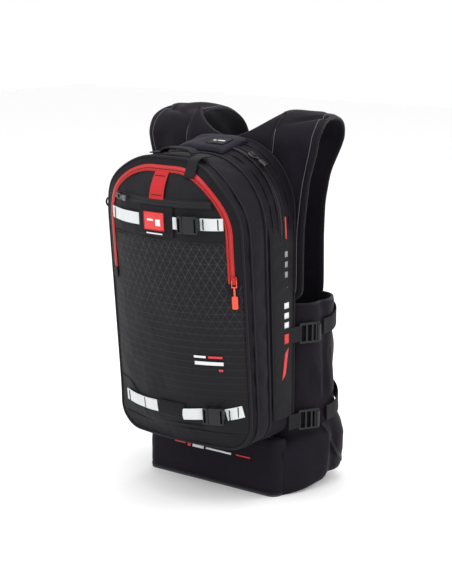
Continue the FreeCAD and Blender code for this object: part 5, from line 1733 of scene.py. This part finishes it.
    def pocket(self, shelf: Shelf) -> None:
        """The pocket that holds the trigger handle: a bound tube of cloth, open below."""
        low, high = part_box("handle_pocket")
        z = np.linspace(low.z / MM, high.z / MM, 24)
        angle = np.linspace(0, TAU, 61)[:-1]
        cx, cy = (low.x + high.x) / 2 / MM, (low.y + high.y) / 2 / MM
        hx, hy = (high.x - low.x) / 2 / MM, (high.y - low.y) / 2 / MM
        px = np.sign(np.cos(angle)) * np.abs(np.cos(angle)) ** 0.3
        py = np.sign(np.sin(angle)) * np.abs(np.sin(angle)) ** 0.3
        out = unit(np.stack([np.cos(angle) / hx * 10, np.sin(angle) / hy * 10, 0 * angle], axis=-1))
        points = xyz(cx + hx * px[None], cy + hy * py[None], z[:, None])
        outs = np.broadcast_to(out[None], points.shape)
        flat = np.stack(np.broadcast_arrays(np.linspace(0, 96, 61)[None], z[:, None]), axis=-1)
        patches = [wall(points, outs, 1.6, flat), tube(points[0], outs[0], 1.4, closed=True, finish=1)]
        sew("trigger_pocket", patches, [shelf.shell, shelf.piping], "pocket_cloth", Body.LEFT,
            "handle_pocket")

    def build(self, shelf: Shelf) -> None:
        """Makes the vest's pieces."""
        self.back(shelf)
        self.spine_pad(shelf)
        for side in (1, -1):
            self.harness(side, shelf)
            self.wrap(side, shelf)
            self.webbing(side, shelf)
            self.closures(side, shelf)
        self.pocket(shelf)


@dataclass
class Skirt:
    """The flared lumbar block under the pack, with its plain marks."""

    low: float = 3.4
    high: float = 91.0
    base_half: float = 132.0
    top_half: float = 130.0
    depth: float = 69.0
    slope: float = 9.0
    radius: float = 19.0

    def ring(self, z: Array, grow: Array) -> tuple[Array, Array]:
        """The block's outline in plan at each height: a rounded rectangle, whose corners are circles.

        Args:
            z: heights, one for each row.
            grow: how far outside its plain size each row lies.
        Returns:
            The grid and its outward directions.
        """
        share = (z - self.low) / (self.high - self.low)
        half = self.base_half + (self.top_half - self.base_half) * share + grow
        front = -self.depth + self.slope * share - grow
        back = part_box("lumbar_block")[1].y / MM + 0 * z
        r = self.radius
        runs = []
        for corner, (sx, sy) in enumerate(((1, -1), (1, 1), (-1, 1), (-1, -1))):
            a = np.radians(-90 + 90 * corner + np.linspace(0, 90, 14))
            rr = r if sy < 0 else 2.5
            cx = (half - rr) * sx
            cy = np.where(sy < 0, front + rr, back - rr)
            x = cx[:, None] + rr * np.cos(a)[None]
            y = cy[:, None] + rr * np.sin(a)[None]
            runs.append((x, y, a))
        xs, ys, ways = [], [], []
        for (x, y, a), (nx, ny, _) in zip(runs, runs[1:] + runs[:1]):
            xs.append(x)
            ys.append(y)
            ways.append(a)
            t = np.linspace(0, 1, 42 if len(xs) % 2 == 0 else 14)[1:-1][None]
            xs.append(x[:, -1:] * (1 - t) + nx[:, :1] * t)
            ys.append(y[:, -1:] * (1 - t) + ny[:, :1] * t)
            ways.append(np.full(t.shape[1], a[-1]))
        x, y = np.concatenate(xs, axis=1), np.concatenate(ys, axis=1)
        angle = np.concatenate(ways)
        out = np.broadcast_to(np.stack([np.cos(angle), np.sin(angle), 0 * angle], axis=-1)[None],
                              (*x.shape, 3))
        return xyz(x, y, z[:, None]), out

    def face(self, x: Array, z: Array, lift: float) -> tuple[Array, Array]:
        """Places on the block's outer face, and the way out there."""
        share = (z - self.low) / (self.high - self.low)
        y = -self.depth + self.slope * share - self.swell(z) - lift
        return xyz(x, y, z), np.broadcast_to([0.0, -1.0, 0.0], (*np.shape(x), 3))

    def swell(self, z: Array) -> Array:
        """How far the stuffed block stands out, a half sine up its height."""
        t = np.clip((z - self.low) / (self.high - self.low), 0, 1)
        return 3.0 * np.sin(np.pi * t) ** 0.8

    def build(self, shelf: Shelf) -> None:
        """Makes the block, its binding and its marks."""
        z = np.concatenate([[self.low, self.low + 0.4, self.low + 1.4],
                            np.linspace(self.low + 3, self.high - 3, 40),
                            [self.high - 1.4, self.high - 0.4, self.high]])
        points, out = self.ring(z, self.swell(z) - 3.0 * np.exp(-np.minimum(z - self.low,
                                                                            self.high - z) / 1.2))
        along = np.concatenate([[0], np.cumsum(np.linalg.norm(np.diff(points[0], axis=0), axis=1))])
        front = smooth(10, 60, -points[..., 1])
        wave = Ripple(110, 60, 7, 1.4)(points[..., 0], z[:, None]) * 0.8 * front
        inside = np.clip(np.minimum(z - self.low, self.high - z) / 8, 0, 1)[:, None]
        points = points + out * (wave * inside)[..., None]
        flat = np.stack(np.broadcast_arrays(np.append(along, along[-1] + 2)[None], z[:, None]), axis=-1)
        body = Patch(points, flat, fanned=True)
        patches = [body]
        for height, radius in ((self.low + 2.0, 2.0), (self.high - 14.0, 0.9)):
            ring, way = self.ring(np.array([height]), self.swell(np.array([height])) - 0.4)
            patches.append(tube(ring[0], way[0], radius, closed=True, finish=1))
        made = sew("lumbar_skirt", patches, [shelf.vest, shelf.piping], "body_cloth", Body.PACK,
                   "lumbar_block")
        marks = []
        spans = ((-74, -52, 54.5, 56.5, 0), (-47, -41, 52, 58, 0), (-37, -14, 52.5, 57.5, 1),
                 (-9, 42, 53.5, 56.5, 1), (52, 80, 54.5, 56.5, 0))
        for x0, x1, z0, z1, finish in spans:
            x, rows = np.meshgrid(np.linspace(x0, x1, 12), np.linspace(z0, z1, 4), indexing="ij")
            grid, way = self.face(x, rows, 1.1)
            marks.append(pad(grid, way, 0.25, 0.9, np.stack([x, rows], axis=-1), finish))
        sew("skirt_marks", marks, [shelf.red_print, shelf.white_print], "printed_band", Body.PACK)


# ------------------------------------------------------------------ hardware and stage
def dress_hardware(shelf: Shelf) -> None:
    """Gives each packed hard piece its finish."""
    finishes = {
        shelf.plastic: ("ladder_lock", "buckle_socket", "buckle_prongs", "closure_sockets", "_prongs",
                        "housing", "inflator_head"),
        shelf.red_rubber: ("front_zip_pull",),
        shelf.red_plastic: ("trigger_handle",),
        shelf.red_metal: ("front_zip_slider",),
        shelf.dark_metal: ("pocket_zip_slider", "main_zip_slider", "pocket_zip_pull", "main_zip_pull"),
        shelf.alloy: ("frame_stays", "gas_neck"),
        shelf.steel: ("piercing_pin",),
        shelf.paint: ("gas_cylinder",),
        shelf.sheet_plastic: ("base_panel", "frame_sheet", "venturi_duct"),
    }
    for name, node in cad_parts.items():
        found = [finish for finish, words in finishes.items() if any(word in name for word in words)]
        if found:
            if not node.data.materials:
                node.data.materials.append(found[0])
            for place in range(len(node.data.materials)):
                node.data.materials[place] = found[0]


@dataclass
class Studio:
    """A pale floor, soft light and the camera."""

    azimuth: float = 38.0
    height: float = 12.0
    distance: float = 2.5
    lens: float = 95.1
    aim: tuple[float, float, float] = (-0.0145, -0.0079, 0.3027)

    def lamp(self, name: str, place: tuple, size: float, power: float, target: tuple = (0, 0, 0.3)) -> None:
        """One square area lamp looking at the target."""
        data = bpy.data.lights.new(name, "AREA")
        data.energy = power
        data.size = size
        made = bpy.data.objects.new(name, data)
        bpy.context.scene.collection.objects.link(made)
        made.location = place
        made.rotation_euler = (Vector(target) - Vector(place)).to_track_quat("-Z", "Y").to_euler()

    def build(self) -> None:
        """Makes the stage."""
        reach = 6.0
        mesh = bpy.data.meshes.new("floor")
        mesh.from_pydata([(-reach, -reach, 0), (reach, -reach, 0), (reach, reach, 0), (-reach, reach, 0)], [],
                         [(0, 1, 2, 3)])
        floor = bpy.data.objects.new("floor", mesh)
        bpy.context.scene.collection.objects.link(floor)
        ink = Ink("pale_floor")
        _, _, _, vector = ink.place(uv=False)
        grain = ink.noise(vector, 60.0, 3.0)
        mesh.materials.append(ink.finish(ink.mix(grain, (0.95, 0.95, 0.95), (0.97, 0.97, 0.97)), 0.7))
        world = bpy.data.worlds.new("studio")
        world.use_nodes = True
        back = next(n for n in world.node_tree.nodes if n.type == "BACKGROUND")
        back.inputs[0].default_value = (1, 1, 1, 1)
        back.inputs[1].default_value = 1.0
        bpy.context.scene.world = world
        bpy.context.scene.view_settings.view_transform = "Standard"
        self.lamp("key", (-1.6, -2.4, 2.4), 1.6, 30)
        self.lamp("fill", (2.6, -1.6, 1.6), 1.8, 16)
        self.lamp("rim", (1.8, 2.0, 2.0), 1.2, 20)
        self.lamp("over", (0.0, 0.2, 2.8), 1.6, 24)
        turn, tilt = math.radians(self.azimuth), math.radians(self.height)
        back_way = Vector((math.sin(turn) * math.cos(tilt), -math.cos(turn) * math.cos(tilt), math.sin(tilt)))
        data = bpy.data.cameras.new("camera")
        data.lens = self.lens
        data.sensor_width = 36.0
        camera = bpy.data.objects.new("camera", data)
        bpy.context.scene.collection.objects.link(camera)
        aim = Vector(self.aim)
        camera.location = aim + back_way * self.distance
        camera.rotation_euler = (-back_way).to_track_quat("-Z", "Y").to_euler()
        bpy.context.scene.camera = camera


def main() -> None:
    """Makes every piece in order."""
    shelf = Shelf()
    Studio().build()
    dress_hardware(shelf)
    for part in (Compartments(), FrontPanel(), Vest(), Skirt()):
        log.info("making the %s", type(part).__name__)
        part.build(shelf)


if __name__ == "__main__":
    logging.basicConfig(level=logging.INFO)
    main()
